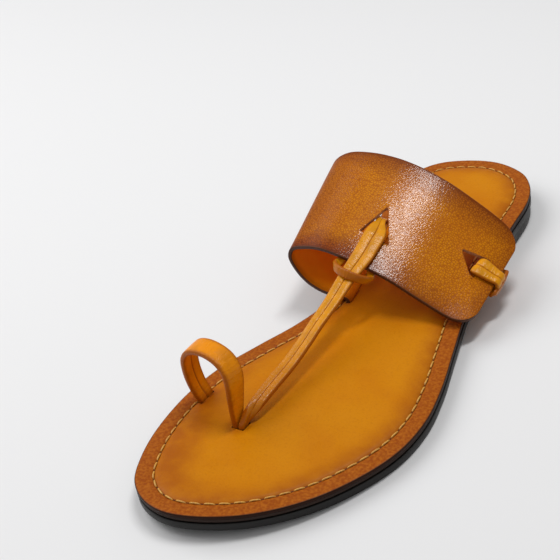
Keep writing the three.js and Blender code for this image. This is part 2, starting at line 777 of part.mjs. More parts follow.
// Half of a hitch: one lace over the band's edge, down through the slit, back beneath its
// flap and around in front of both laces to the ring's middle
function hitchKnots(tie, side) {
  const { frameAt, hitch, ringSizes, facing } = tie;
  const knot = (inward, beside, lift, face, width, thickness) => {
    const frame = frameAt(inward, beside);
    const at = frame.point.clone().addScaledVector(frame.up, lift);
    const looks = new THREE.Vector3();
    looks.addScaledVector(frame.up, face.up * facing);
    looks.addScaledVector(frame.inward, face.inward * facing);
    looks.addScaledVector(frame.beside, face.beside * side * facing);
    return { at, face: looks.normalize(), width, thickness };
  };
  const faceUp = { up: 1, inward: 0, beside: 0 };
  const besideOf = (middle, width) => middle + (side * width * laceTouch) / 2;
  const fold = tie.through[0];
  const foldInward = flapTip(hitch, besideOf(fold.middle, fold.width)) + fold.past;
  const over = overShares.map((share) => {
    const width = THREE.MathUtils.lerp(tie.edgeWidth, fold.width, share);
    const beside = besideOf(fold.middle * share, width);
    return knot(foldInward * share, beside, laceLift, faceUp, width, laceThickness);
  });
  const through = tie.through.map((row) => {
    const beside = besideOf(row.middle, row.width);
    const angle = THREE.MathUtils.degToRad(row.turn);
    const face = { up: Math.cos(angle), inward: Math.sin(angle), beside: 0 };
    const inward = flapTip(hitch, beside) + row.past;
    return knot(inward, beside, laceLift * row.lift, face, row.width, row.thickness);
  });
  const half = ringSizes.half - laceThickness / 2;
  const faceDown = { up: -1, inward: 0, beside: 0 };
  const under = [
    knot(
      foldInward * underShare,
      side * half * underSpread + ringSizes.beside * underShare,
      -laceLift,
      faceDown,
      laceWidth * underWidth,
      laceThickness,
    ),
    knot(
      meetingGap,
      side * half * turningSpread + ringSizes.beside,
      -laceLift - meetingGap,
      faceDown,
      laceWidth * turningWidth,
      laceThickness,
    ),
  ];
  const rise = ringSizes.crown + laceLift;
  const clearReach = laceThickness / 2 + meetingGap * 2;
  const furthestReach = ringSizes.reach - laceThickness / 2;
  const loop = tie.ringSections.map((row) => knot(
    -THREE.MathUtils.lerp(clearReach, furthestReach, row.reach),
    side * half * row.half + ringSizes.shift * row.reach * row.reach + ringSizes.beside,
    rise * row.rise - laceLift,
    row,
    laceWidth * ringWidth,
    laceThickness,
  ));
  return [...over, ...through, ...under, ...loop];
}

// The toe thong: two laces from the post, a quarter turn, up to the band's front edge
function toeThongKnots(side) {
  const edge = frontFrame(0, 0);
  const edgeAt = edge.point.clone().addScaledVector(edge.up, laceLift);
  const edgeRise = edgeAt.z - footbedHeight(edgeAt.y);
  const gathered = { along: 0, turn: 0, width: gatheredWidth, thickness: foldedThickness };
  const rows = [
    { ...gathered, rise: slotFloor / edgeRise, swing: 0, bank: 0 },
    { ...gathered, rise: (footbedCrown + meetingGap) / edgeRise, swing: 0, bank: 0 },
    ...thongSections,
  ];
  const middles = rows.map((row) => {
    const x = THREE.MathUtils.lerp(thongX, edgeAt.x, row.along) + laceWidth * row.swing;
    const y = THREE.MathUtils.lerp(postY, edgeAt.y, row.along);
    return new THREE.Vector3(x, y, footbedHeight(y) + edgeRise * row.rise);
  });
  const curve = new THREE.CatmullRomCurve3([...middles, edgeAt], false, 'centripetal');
  return rows.map((row, index) => {
    const run = curve.getTangent(index / rows.length);
    const turn = THREE.MathUtils.degToRad(row.turn);
    const beside = new THREE.Vector3(Math.sin(turn), Math.cos(turn), 0).lerp(edge.beside, row.bank);
    beside.addScaledVector(run, -beside.dot(run)).normalize();
    const face = new THREE.Vector3().crossVectors(beside, run);
    const at = middles[index].clone().addScaledVector(beside, (side * row.width * laceTouch) / 2);
    return { at, face, width: row.width, thickness: row.thickness };
  });
}

// The side thong: two laces from their slot, out under the band's free edge and up around it
function sideThongKnots(side) {
  const y = sideSlotY + (side * laceWidth * laceTouch) / 2;
  const lying = footbedCrown + meetingGap + laceThickness / 2;
  const turn = laceThickness / 2 + slotClearance + meetingGap;
  const place = (x, height, face) => ({
    at: new THREE.Vector3(x, y, footbedHeight(y) + height),
    face: new THREE.Vector3(face[0], 0, face[1]).normalize(),
    width: laceWidth,
    thickness: laceThickness,
  });
  const start = [
    place(sideSlotX, slotFloor, [-1, 0]),
    place(sideSlotX, lying - turn, [-1, 0]),
    place(sideSlotX + turn * rimBend, lying - turn * rimBend + meetingGap, [-1, 1]),
    place(sideSlotX + turn * rimPast, lying + meetingGap, [0, 1]),
  ];
  const edge = sideFrame(0, (side * sideEdgeWidth * laceTouch) / 2);
  const roundUp = laceLift + meetingGap;
  const roundOut = laceThickness / 2 + meetingGap * 2;
  const around = aroundEdge.map((degrees) => {
    const angle = THREE.MathUtils.degToRad(degrees);
    const at = edge.point.clone();
    at.addScaledVector(edge.up, roundUp * Math.cos(angle));
    at.addScaledVector(edge.inward, roundOut * Math.sin(angle));
    const face = new THREE.Vector3();
    face.addScaledVector(edge.up, -Math.cos(angle));
    face.addScaledVector(edge.inward, -Math.sin(angle));
    return { at, face, width: sideEdgeWidth, thickness: laceThickness };
  });
  return [...start, ...around];
}

function makeLace(knotsFor, tie) {
  const halves = [-1, 1].map((side) => {
    const knots = [...knotsFor(side), ...hitchKnots(tie, side)];
    return solidFrom(sweptStrap(knots, laceStep));
  });
  return geometryFrom(halves[0].add(halves[1]));
}

const frontTie = {
  frameAt: frontFrame,
  hitch: frontHitch,
  through: frontThrough,
  edgeWidth: frontEdgeWidth,
  ringSizes: frontRing,
  ringSections: frontRingSections,
  facing: 1,
};
const sideTie = {
  frameAt: sideFrame,
  hitch: sideHitch,
  through: sideThrough,
  edgeWidth: sideEdgeWidth,
  ringSizes: sideRing,
  ringSections: sideRingSections,
  facing: -1,
};

// Materials
function leather(color, roughness) {
  return new THREE.MeshStandardMaterial({ color, roughness, metalness: 0 });
}

const footbedLeather = leather(0xc87d2a, 0.5);
const grainLeather = leather(0xb5651d, 0.45);
const loopLeather = leather(0xc07a22, 0.5);
const laceLeather = leather(0xd99a1c, 0.35);
const darkBoard = leather(0x3a2418, 0.7);
const blackRubber = leather(0x1c1b1b, 0.6);

function part(name, geometry, material) {
  const mesh = new THREE.Mesh(geometry, material);
  mesh.name = name;
  return mesh;
}

const cutters = slotCutters();
const sandal = new THREE.Group();
sandal.add(part('outsole', makeOutsole(), blackRubber));
sandal.add(part('insole_board', makeBoard(cutters), darkBoard));
sandal.add(part('footbed', makeFootbed(cutters), footbedLeather));
sandal.add(part('instep_band', makeBand(), grainLeather));
sandal.add(part('toe_loop', makeLoop(), loopLeather));
sandal.add(part('toe_thong', makeLace(toeThongKnots, frontTie), laceLeather));
sandal.add(part('side_thong', makeLace(sideThongKnots, sideTie), laceLeather));

// The origin is the middle of the whole sandal's floor area
const extent = new THREE.Box3().setFromObject(sandal);
const middle = extent.getCenter(new THREE.Vector3());
sandal.position.set(-middle.x, -middle.y, -extent.min.z);

export default sandal;
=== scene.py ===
# A flat leather slide sandal for the left foot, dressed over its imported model.
# Sizes are millimetres in the sole's own frame, where X is 0 on the sole's middle line.
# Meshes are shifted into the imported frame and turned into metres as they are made.
import math

import bpy
import numpy as np
from mathutils import Matrix, Vector


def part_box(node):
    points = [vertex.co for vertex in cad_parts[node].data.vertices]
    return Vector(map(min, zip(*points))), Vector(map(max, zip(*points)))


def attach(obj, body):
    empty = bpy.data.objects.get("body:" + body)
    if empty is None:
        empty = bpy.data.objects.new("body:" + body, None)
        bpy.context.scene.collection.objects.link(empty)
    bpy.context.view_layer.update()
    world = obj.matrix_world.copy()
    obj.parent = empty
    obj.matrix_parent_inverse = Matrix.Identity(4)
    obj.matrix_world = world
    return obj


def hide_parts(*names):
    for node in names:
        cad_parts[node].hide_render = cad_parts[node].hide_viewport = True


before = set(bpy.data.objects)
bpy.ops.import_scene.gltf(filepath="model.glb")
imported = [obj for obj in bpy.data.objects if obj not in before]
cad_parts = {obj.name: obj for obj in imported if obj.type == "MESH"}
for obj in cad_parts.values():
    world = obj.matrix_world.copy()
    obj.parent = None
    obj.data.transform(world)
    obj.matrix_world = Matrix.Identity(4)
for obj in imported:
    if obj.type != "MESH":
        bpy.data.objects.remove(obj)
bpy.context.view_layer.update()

METRE = 0.001

# Camera, measured from the photograph, and the studio round it
CAMERA_PLACE = (217.9, -318.3, 275.5)
CAMERA_FORWARD = (-0.53748, 0.65323, -0.53329)
CAMERA_UP = (-0.18394, 0.52636, 0.83013)
CAMERA_LENS = 74.06
CAMERA_SENSOR = 36.0
WORLD_STRENGTH = 0.32
FLOOR_REACH = 4000

# Sole
SOLE_LENGTH = 255.0
BALL_WIDTH = 93.2
OUTSOLE_THICKNESS = 3.3
BOARD_THICKNESS = 1.3
FOOTBED_THICKNESS = 1.5
HEEL_LIFT = 5.1
TOE_SPRING = 3.7
CROWN = 0.8
STITCH_MARGIN = 6.8
GROOVE_DEPTH = 0.4
HEEL_BLOCK_INSET = 0.5
GAP = 0.3
SLOT_CLEARANCE = 0.6
FOOTBED_SLOT_CLEARANCE = 0.2
SPRING_SHARE = 0.22
HEEL_RISE = (0.42, 0.78)
HEEL_BREAST_SHARE = 0.7
TREAD_ROUND = 0.6
OUTSOLE_ROUND = 0.35
BOARD_INSET = 0.45
BOARD_ROUND = 0.2
FOOTBED_UNDER_ROUND = 0.35
FOOTBED_ROUND = 0.45
OUTSOLE_SIDE_RING = 1.6
HEEL_SIDE_RING = 2.2

# The footbed's relief: inset past the stitches, and rise
FOOTBED_RELIEF = [
    (-5.4, 0.03), (-3.4, 0.08), (-1.6, 0.05), (-0.9, -0.04), (-0.45, -0.24), (0, -GROOVE_DEPTH),
    (0.45, -0.22), (0.9, 0.08), (1.5, 0.3), (2.5, 0.48), (4.2, 0.68), (6.1, CROWN),
]

# Leather dented at the loop's slots, with painted shade over the same reach: half width, half length, and
# the depth of both
POST_DENT = (5.5, 7.0)
LOOP_DENT = (4.5, 7.5)
DENT_DEPTH = 0.45
POST_DENT_SHIFT = 1

# Burnished leather inside the stitches, and painted shade that widens it beside the toe: its reach, and how
# much further the painted shade goes beside the toe
BURNISH_REACH = 17
TOE_SHADE_REACH = 16

# Instep band
BAND_LENGTH = 52.5
BAND_WALL = 1.7
BAND_RISE = 37.5
BAND_CORNER = 9.0
BAND_FRONT_SHARE = 0.5176
SLIT_WIDTH = 0.9
BAND_EDGE_ROUND = 0.4
BAND_STEPS_AROUND = 236
BAND_STEPS_ACROSS = 78

# Toe loop
LOOP_WIDTH = 9.0
LOOP_THICKNESS = 2.3
LOOP_RISE = 28.4
LOOP_SPAN = 21.9
LOOP_LEAN = 1.2
LOOP_SLOT_WIDE = 0.88
LOOP_POST_WIDE = 0.52
POST_SHARE = 0.198
POST_ACROSS = -0.101
LOOP_SLOT_SHARE = 0.232
LOOP_STEP = 0.8
LOOP_FOOT_SHADE = 0.7
GROOVE_SPREAD = 0.09
SEAM_SPREAD = 0.07

# Laces: flat, and gathered narrow and thick at the post
LACE_WIDTH = 4.4
LACE_THICKNESS = 1.8
FOLDED_THICKNESS = 2.4
GATHERED_WIDTH = 2.3
LACE_TOUCH = 0.88
UNDER_WIDTH = 0.9
TURNING_WIDTH = 0.85
RING_WIDTH = 0.85
FRONT_EDGE_WIDTH = 4.6
SIDE_EDGE_WIDTH = 3.6
OVER_SHARES = (0.25, 0.6, 0.88)
UNDER_SHARE = 0.5
UNDER_SPREAD = 0.55
TURNING_SPREAD = 0.88
AROUND_EDGE = (200, 225, 270, 315, 350)
RIM_BEND = 0.3
RIM_PAST = 1.2
LACE_STEP = 0.6
LACE_TAIL = 16
LACE_FOOT_SHADE = 0.8
LACE_TAIL_SHADE = 0.75
LACE_LOWER_SHADE = 0.6

# Slots across the sole, as shares of the ball width from the middle line
BAND_SLOT_FRONT = -0.106
BAND_SLOT_REAR = -0.2
SIDE_SLOT_ACROSS = 0.33

# Stitches
STITCH_PITCH = 5.2
STITCH_LENGTH = 4.1
STITCH_RADIUS = 0.36
STITCH_SLANT = 0.07
THREAD_SIDES = 8
HOLE_OVAL = 0.75
SLOT_STITCH_GAP = 2.6

# A stitch along its length: place as a share, rise, and thickness as a share
STITCH_SECTIONS = [
    (-0.5, -0.1, 0.5), (-0.44, 0.2, 0.85), (-0.25, 0.36, 1.0), (0.0, 0.42, 1.0),
    (0.25, 0.36, 1.0), (0.44, 0.2, 0.85), (0.5, -0.1, 0.5),
]

# A needle hole's rings: height and radius
HOLE_SECTIONS = [(-0.35, 0.2), (0.0, 0.5), (0.1, 0.42), (0.02, 0.15)]

# Leather beside the slits and under the laces
LIP_LIFT = 0.3
LIP_REACH = 1.3
FLAP_PRESS = 0.5
UNDER_LACE_PRESS = 0.04

FOOTBED_TOP = OUTSOLE_THICKNESS + GAP + BOARD_THICKNESS + GAP + FOOTBED_THICKNESS
BOARD_TOP = FOOTBED_TOP - FOOTBED_THICKNESS - GAP
OUTSOLE_TOP = BOARD_TOP - BOARD_THICKNESS - GAP
SLOT_FLOOR = OUTSOLE_TOP - FOOTBED_TOP + GAP
LACE_LIFT = BAND_WALL / 2 + GAP + LACE_THICKNESS / 2

# The sole's outline: share of the length from the toe, share of the ball width
OUTLINE_TIP = (0.0, -0.054)
OUTLINE_HEEL = (1.0, -0.011)
LATERAL_EDGE = [
    (0.012, 0.075), (0.045, 0.231), (0.1, 0.378), (0.165, 0.486), (0.24, 0.562),
    (0.31, 0.575), (0.38, 0.544), (0.47, 0.478), (0.56, 0.417), (0.68, 0.368),
    (0.8, 0.341), (0.885, 0.317), (0.935, 0.267), (0.975, 0.177),
]
MEDIAL_EDGE = [
    (0.008, -0.166), (0.035, -0.27), (0.08, -0.343), (0.14, -0.399), (0.22, -0.425),
    (0.3, -0.399), (0.37, -0.333), (0.44, -0.258), (0.5, -0.214), (0.57, -0.212),
    (0.66, -0.247), (0.78, -0.317), (0.88, -0.359), (0.935, -0.336), (0.975, -0.247),
]

# The band's sections: front across, front rise, rear across, rear rise
BAND_SECTIONS = [
    (-0.245, 0.09, -0.327, 0.1), (-0.31, 0.165, -0.397, 0.2), (-0.36, 0.295, -0.454, 0.375),
    (-0.387, 0.46, -0.479, 0.6), (-0.366, 0.576, -0.451, 0.816), (-0.3, 0.632, -0.367, 0.96),
    (-0.215, 0.653, -0.241, 1.005), (-0.107, 0.605, -0.107, 0.981), (0.011, 0.523, 0.016, 0.901),
    (0.129, 0.413, 0.132, 0.779), (0.252, 0.261, 0.252, 0.605), (0.37, 0.125, 0.37, 0.408),
    (0.484, 0.033, 0.478, 0.179),
]

# The toe loop: share of the span, of the rise and of the width
LOOP_SECTIONS = [
    (0.0, 0.252, 0.78), (-0.01, 0.459, 0.98), (-0.012, 0.645, 1.08), (0.035, 0.803, 1.06),
    (0.18, 0.928, 1.03), (0.44, 0.997, 1.0), (0.7, 0.986, 1.0), (0.904, 0.914, 1.0),
    (1.046, 0.769, 1.0), (1.1, 0.545, 0.98), (1.09, 0.321, 0.95), (1.046, 0.148, 0.92),
]

# The toe thong: along, rise, turn in degrees, width, thickness, swing, bank
THONG_SECTIONS = [
    (0.012, 0.1, 2, 2.3, 2.4, 0.03, 0), (0.035, 0.165, 14, 2.4, 2.4, 0.11, 0),
    (0.065, 0.215, 34, 2.6, 2.4, 0.19, 0), (0.105, 0.26, 56, 2.9, 2.4, 0.25, 0),
    (0.165, 0.305, 76, 3.1, 2.4, 0.26, 0), (0.25, 0.345, 88, 3.3, 2.4, 0.22, 0),
    (0.37, 0.395, 90, 3.3, 2.4, 0.15, 0), (0.5, 0.5, 90, 3.3, 2.4, 0.06, 0),
    (0.61, 0.61, 90, 3.3, 2.4, -0.02, 0.1), (0.76, 0.735, 90, 3.5, 2.3, -0.13, 0.4),
    (0.89, 0.88, 90, 3.8, 2.1, -0.2, 0.9),
]

# The hitches: a place along the edge that the lace wraps, and the slit's corners, each inward
# from that edge and beside the place
FRONT_HITCH = {"place": 52.5, "apex": (28.0, -1.15), "low": (14.0, -6.85), "high": (13.5, 6.85)}
SIDE_HITCH = {"place": 26.9, "apex": (18.1, 2.35), "low": (9.3, -6.85), "high": (6.6, 6.05)}
FLAP_SHARE = 0.05
FRONT_RING = {"reach": 8.8, "half": 8.9, "crown": 4.1, "shift": 0.5, "beside": -1.4}
SIDE_RING = {"reach": 3.1, "half": 7.0, "crown": -1.0, "shift": 0.2, "beside": 1.3}

# Through the slit: past the flap's tip, lift, the pair's middle, width, thickness, turn
FRONT_THROUGH = [
    (-0.3, 1, 0.1, 5, 1.8, 0), (3.2, 0.42, -0.4, 4.2, 1.6, 22), (6.6, -0.2, -1.1, 2.5, 1.5, 22),
    (8.9, -0.64, -1.5, 2.1, 1.4, 35), (10.2, -1.3, -1.8, 3.2, 1.3, 90), (9, -1.75, -1.6, 3.2, 1.4, 150),
    (6.5, -1.45, -0.9, 2.9, 1.6, 180), (1.5, -1.15, 0, 3.9, 1.7, 180),
]
SIDE_THROUGH = [
    (-0.3, 1, 0, 4.9, 1.8, 0), (1.15, 0.71, 0.1, 4.5, 1.8, 45), (1.75, 0, 0.2, 4, 1.8, 90),
    (1.15, -0.71, 0.2, 3.9, 1.8, 135), (-0.3, -1, 0.2, 3.9, 1.8, 180),
]

# Each ring from the band's edge to its middle: reach, half, rise, and its face: up, inward, beside
FRONT_RING_SECTIONS = [
    (0.1, 1, 0.06, -1, 0, 0.8), (0.55, 0.86, 0.5, 0.1, -0.5, 1), (0.87, 0.5, 0.85, 0.6, -0.8, 0.5),
    (1, 0, 1, 0.8, -0.8, 0), (1, -0.06, 1, 0.8, -0.8, 0),
]
SIDE_RING_SECTIONS = [
    (0, 1, 0.1, -0.7, -1, 0.3), (0.4, 0.9, 0.5, 0, -1, 0.5), (0.8, 0.55, 0.85, 0.2, -1, 0.3),
    (1, 0, 1, 0.25, -1, 0), (1, -0.06, 1, 0.25, -1, 0),
]


def along_at(share):
    return (share - 0.5) * SOLE_LENGTH


def across_at(share):
    return share * BALL_WIDTH


def smooth_step(x, low, high):
    t = np.clip((np.asarray(x, float) - low) / (high - low), 0, 1)
    return t * t * (3 - 2 * t)


def ride_height(y):
    share = np.asarray(y, float) / SOLE_LENGTH + 0.5
    tip = np.maximum(0, 1 - share / SPRING_SHARE)
    return HEEL_LIFT * smooth_step(share, *HEEL_RISE) + TOE_SPRING * tip * tip


def footbed_height(y):
    return FOOTBED_TOP + ride_height(y)


def over_footbed(x, y, height):
    return (x, y, float(footbed_height(y)) + height)


def unit(v):
    v = np.asarray(v, float)
    return v / np.linalg.norm(v, axis=-1, keepdims=True)


class Spline:
    """A centripetal curve through points, open or closed, read at shares from 0 to 1."""

    def __init__(self, points, closed=False):
        self.closed = closed
        points = np.array(points, float)
        self.count = len(points)
        if closed:
            self.points = points
        else:
            before = 2 * points[0] - points[1]
            after = 2 * points[-1] - points[-2]
            self.points = np.vstack([before, points, after])

    def at(self, share):
        share = np.atleast_1d(np.asarray(share, float))
        if self.closed:
            place = share * self.count
            low = np.floor(place).astype(int)
            around = [self.points[(low + k) % self.count] for k in (-1, 0, 1, 2)]
        else:
            place = share * (self.count - 1)
            low = np.clip(np.floor(place).astype(int), 0, self.count - 2)
            around = [self.points[low + k] for k in (0, 1, 2, 3)]
        t = (place - low)[:, None]
        a, b, c, d = around
        reach = [np.sqrt(np.linalg.norm(q - p, axis=1))[:, None] for p, q in ((a, b), (b, c), (c, d))]
        mid = np.where(reach[1] < 1e-4, 1, reach[1])
        first = np.where(reach[0] < 1e-4, mid, reach[0])
        last = np.where(reach[2] < 1e-4, mid, reach[2])
        start = ((b - a) / first - (c - a) / (first + mid) + (c - b) / mid) * mid
        end = ((c - b) / mid - (d - b) / (mid + last) + (d - c) / last) * mid
        square = -3 * b + 3 * c - 2 * start - end
        cube = 2 * b - 2 * c + start + end
        return b + start * t + square * t * t + cube * t ** 3

    def tangent(self, share):
        share = np.atleast_1d(np.asarray(share, float))
        step = 1e-4
        low = share - step
        high = share + step
        if not self.closed:
            low = np.maximum(low, 0)
            high = np.minimum(high, 1)
        return unit(self.at(high) - self.at(low))

    def even(self, count, start=0.0, stop=1.0):
        """Shares for points that lie evenly along the curve."""
        fine = np.linspace(start, stop, 3000)
        points = self.at(fine)
        lengths = np.concatenate([[0], np.cumsum(np.linalg.norm(np.diff(points, axis=0), axis=1))])
        return np.interp(np.linspace(0, lengths[-1], count), lengths, fine), lengths[-1]


# Outline of the sole
outline_points = [OUTLINE_TIP, *LATERAL_EDGE, OUTLINE_HEEL, *reversed(MEDIAL_EDGE)]
outline = Spline([(across_at(c), along_at(a), 0) for a, c in outline_points], closed=True)
heel_share = (len(LATERAL_EDGE) + 1) / len(outline_points)
OUTLINE_STEPS = 190


def outline_side(start, stop):
    shares, _ = outline.even(OUTLINE_STEPS + 1, start, stop)
    points = outline.at(shares)
    run = outline.tangent(shares)
    return points, np.stack([-run[:, 1], run[:, 0], 0 * run[:, 0]], axis=1)


lateral_points, lateral_inward = outline_side(0, heel_share)
medial_points, medial_inward = outline_side(1, heel_share)
rim_points = np.vstack([lateral_points, medial_points[1:-1][::-1]])
rim_inward = np.vstack([lateral_inward, medial_inward[1:-1][::-1]])
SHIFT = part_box("footbed")[0].x / METRE - rim_points[:, 0].min()


def make_object(name, points, faces, values=None, face_slots=None, materials=()):
    """A mesh object from points in the sole's frame, with per-point values as attributes."""
    points = (np.asarray(points, float) + (SHIFT, 0, 0)) * METRE
    mesh = bpy.data.meshes.new(name)
    mesh.from_pydata(points.tolist(), [], [list(map(int, face)) for face in faces])
    for key, numbers in (values or {}).items():
        layer = mesh.attributes.new(key, "FLOAT", "POINT")
        layer.data.foreach_set("value", np.asarray(numbers, np.float32))
    for material in materials:
        mesh.materials.append(material)
    if face_slots is not None:
        mesh.polygons.foreach_set("material_index", np.asarray(face_slots, np.int32))
    mesh.polygons.foreach_set("use_smooth", np.full(len(mesh.polygons), True))
    mesh.update()
    obj = bpy.data.objects.new(name, mesh)
    bpy.context.collection.objects.link(obj)
    return obj


def loop_faces(rows, count):
    """Faces between closed rings of equal count."""
    faces = []
    for level in range(rows - 1):
        low = level * count
        high = low + count
        for i in range(count):
            j = (i + 1) % count
            faces.append((low + i, low + j, high + j, high + i))
    return faces


def strip_cap(start, count, flip=False):
    """Faces that close a flat ring of points, each from its upper side to its lower one."""
    faces = []
    for i in range(count // 2 - 1):
        face = (start + i, start + i + 1, start + count - 2 - i, start + count - 1 - i)
        faces.append(face[::-1] if flip else face)
    return faces


# A layer of the sole: rings round its edge, and a cap below and above
def sole_solid(profile, cross_steps, relief=None):
    """Points and faces of a layer. The profile is a list of insets and height functions."""
    count = len(rim_points)
    points = []
    insets = []
    for inset, height in profile:
        ring = rim_points + rim_inward * inset
        ring[:, 2] = height(ring[:, 1])
        points.append(ring)
        insets.append(np.full(count, inset))
    faces = loop_faces(len(profile), count)
    total = len(profile) * count
    caps = ((0, profile[0][1], False), ((len(profile) - 1) * count, profile[-1][1], True))
    for start, height, upward in caps:
        ring = points[start // count]
        lateral = [start + i for i in range(OUTLINE_STEPS + 1)]
        medial = [start + (count - i) % count for i in range(OUTLINE_STEPS + 1)]
        rows = [[lateral[0]]]
        for i in range(1, OUTLINE_STEPS):
            a = ring[lateral[i] - start]
            b = ring[medial[i] - start]
            shares = np.linspace(0, 1, cross_steps + 1)[1:-1, None]
            inner = a + (b - a) * shares
            inner[:, 2] = height(inner[:, 1])
            points.append(inner)
            away = np.linalg.norm(inner[:, None, :2] - rim_points[None, :, :2], axis=2)
            insets.append(away.min(axis=1))
            rows.append([lateral[i], *range(total, total + len(inner)), medial[i]])
            total += len(inner)
        rows.append([lateral[-1]])
        for here, there in zip(rows, rows[1:]):
            if len(here) == 1:
                strip = [(here[0], there[k], there[k + 1]) for k in range(len(there) - 1)]
            elif len(there) == 1:
                strip = [(here[k], there[0], here[k + 1]) for k in range(len(here) - 1)]
            else:
                strip = [(here[k], there[k], there[k + 1], here[k + 1]) for k in range(len(here) - 1)]
            faces += strip if upward else [face[::-1] for face in strip]
    points = np.vstack(points)
    insets = np.concatenate(insets)
    if relief is not None:
        points = relief(points, insets)
    return points, faces, insets


post_y = along_at(POST_SHARE)
post_x = across_at(POST_ACROSS)
loop_slot_y = along_at(LOOP_SLOT_SHARE)
loop_slot_x = post_x - LOOP_SPAN
thong_x = post_x + LOOP_THICKNESS / 2 + GAP + FOLDED_THICKNESS / 2
band_front_y = along_at(BAND_FRONT_SHARE)
band_rear_y = band_front_y + BAND_LENGTH
side_slot_x = across_at(SIDE_SLOT_ACROSS)
side_slot_y = band_front_y + SIDE_HITCH["place"]
band_slot_front = np.array([across_at(BAND_SLOT_FRONT), band_front_y])
band_slot_rear = np.array([across_at(BAND_SLOT_REAR), band_rear_y])
band_slot_run = unit(band_slot_rear - band_slot_front)


# The band's middle surface
def band_curve(slot_share, across_column, rise_column):
    slot_x = across_at(slot_share)
    rim = CROWN + GAP
    turn = BAND_WALL / 2 + SLOT_CLEARANCE + GAP
    lying = rim + BAND_WALL / 2 + GAP
    soft = turn * (1 - math.sqrt(0.5))
    start = [
        (slot_x, 0, SLOT_FLOOR), (slot_x, 0, SLOT_FLOOR / 2), (slot_x, 0, lying - turn),
        (slot_x - soft, 0, lying - soft), (slot_x - turn, 0, lying), (slot_x - turn * 3, 0, lying),
    ]
    free = [(across_at(row[across_column]), 0, BAND_RISE * row[rise_column]) for row in BAND_SECTIONS]
    return Spline([*start, *free])


band_front = band_curve(BAND_SLOT_FRONT, 0, 1)
band_rear = band_curve(BAND_SLOT_REAR, 2, 3)


def band_surface(around, back):
    around, back = np.broadcast_arrays(np.asarray(around, float), np.asarray(back, float))
    held = np.clip(around.ravel(), 0, 1)
    share = back.ravel()[:, None]
    point = band_front.at(held) * (1 - share) + band_rear.at(held) * share
    point[:, 1] = band_front_y + BAND_LENGTH * share[:, 0]
    point[:, 2] += footbed_height(point[:, 1])
    return point


arc_shares = np.linspace(0, 1, 1201)
arc_points = band_surface(arc_shares, 0.5)
arc_lengths = np.concatenate([[0], np.cumsum(np.linalg.norm(np.diff(arc_points, axis=0), axis=1))])
BAND_GIRTH = arc_lengths[-1]


def on_band(from_free, from_front):
    """Places on the band by their distances from its free edge and its front edge.

    Returns the places, and the ways towards the free edge, rearward and up there.
    """
    from_free, from_front = np.broadcast_arrays(np.asarray(from_free, float), np.asarray(from_front, float))
    from_free = from_free.ravel()
    around = np.interp(BAND_GIRTH - np.maximum(0, from_free), arc_lengths, arc_shares)
    back = from_front.ravel() / BAND_LENGTH
    step = 0.004
    ahead = np.minimum(1, around + step)
    point = band_surface(around, back)
    lateral = unit(band_surface(ahead, back) - band_surface(ahead - step * 2, back))
    rearward = unit(band_surface(around, back + step) - band_surface(around, back - step))
    up = unit(np.cross(lateral, rearward))
    point = point + lateral * np.maximum(0, -from_free)[:, None]
    return point, lateral, rearward, up


def front_frame(inward, beside):
    """Places by their distances from the front hitch, and the ways up, inward and beside there."""
    point, lateral, rearward, up = on_band(FRONT_HITCH["place"] - np.asarray(beside, float), inward)
    return point, up, rearward, lateral


def side_frame(inward, beside):
    """Places by their distances from the side hitch, and the ways up, inward and beside there."""
    point, lateral, rearward, up = on_band(inward, SIDE_HITCH["place"] + np.asarray(beside, float))
    return point, up, -lateral, rearward


def on_arm(end, hitch, share):
    """Inward and beside of a place on one of a slit's arms, from its end to the apex."""
    return np.array(end) * (1 - share) + np.array(hitch["apex"]) * share


def flap_tip(hitch, beside):
    low = on_arm(hitch["low"], hitch, FLAP_SHARE)
    high = on_arm(hitch["high"], hitch, FLAP_SHARE)
    return low[0] + (high[0] - low[0]) * (beside - low[1]) / (high[1] - low[1])


def slit_sides(hitch, inward):
    """Where both arms lie beside the hitch's place at a distance inward."""
    apex = hitch["apex"]
    sides = []
    for end in (hitch["low"], hitch["high"]):
        sides.append(np.interp(inward, (end[0], apex[0]), (end[1], apex[1])))
    return sides


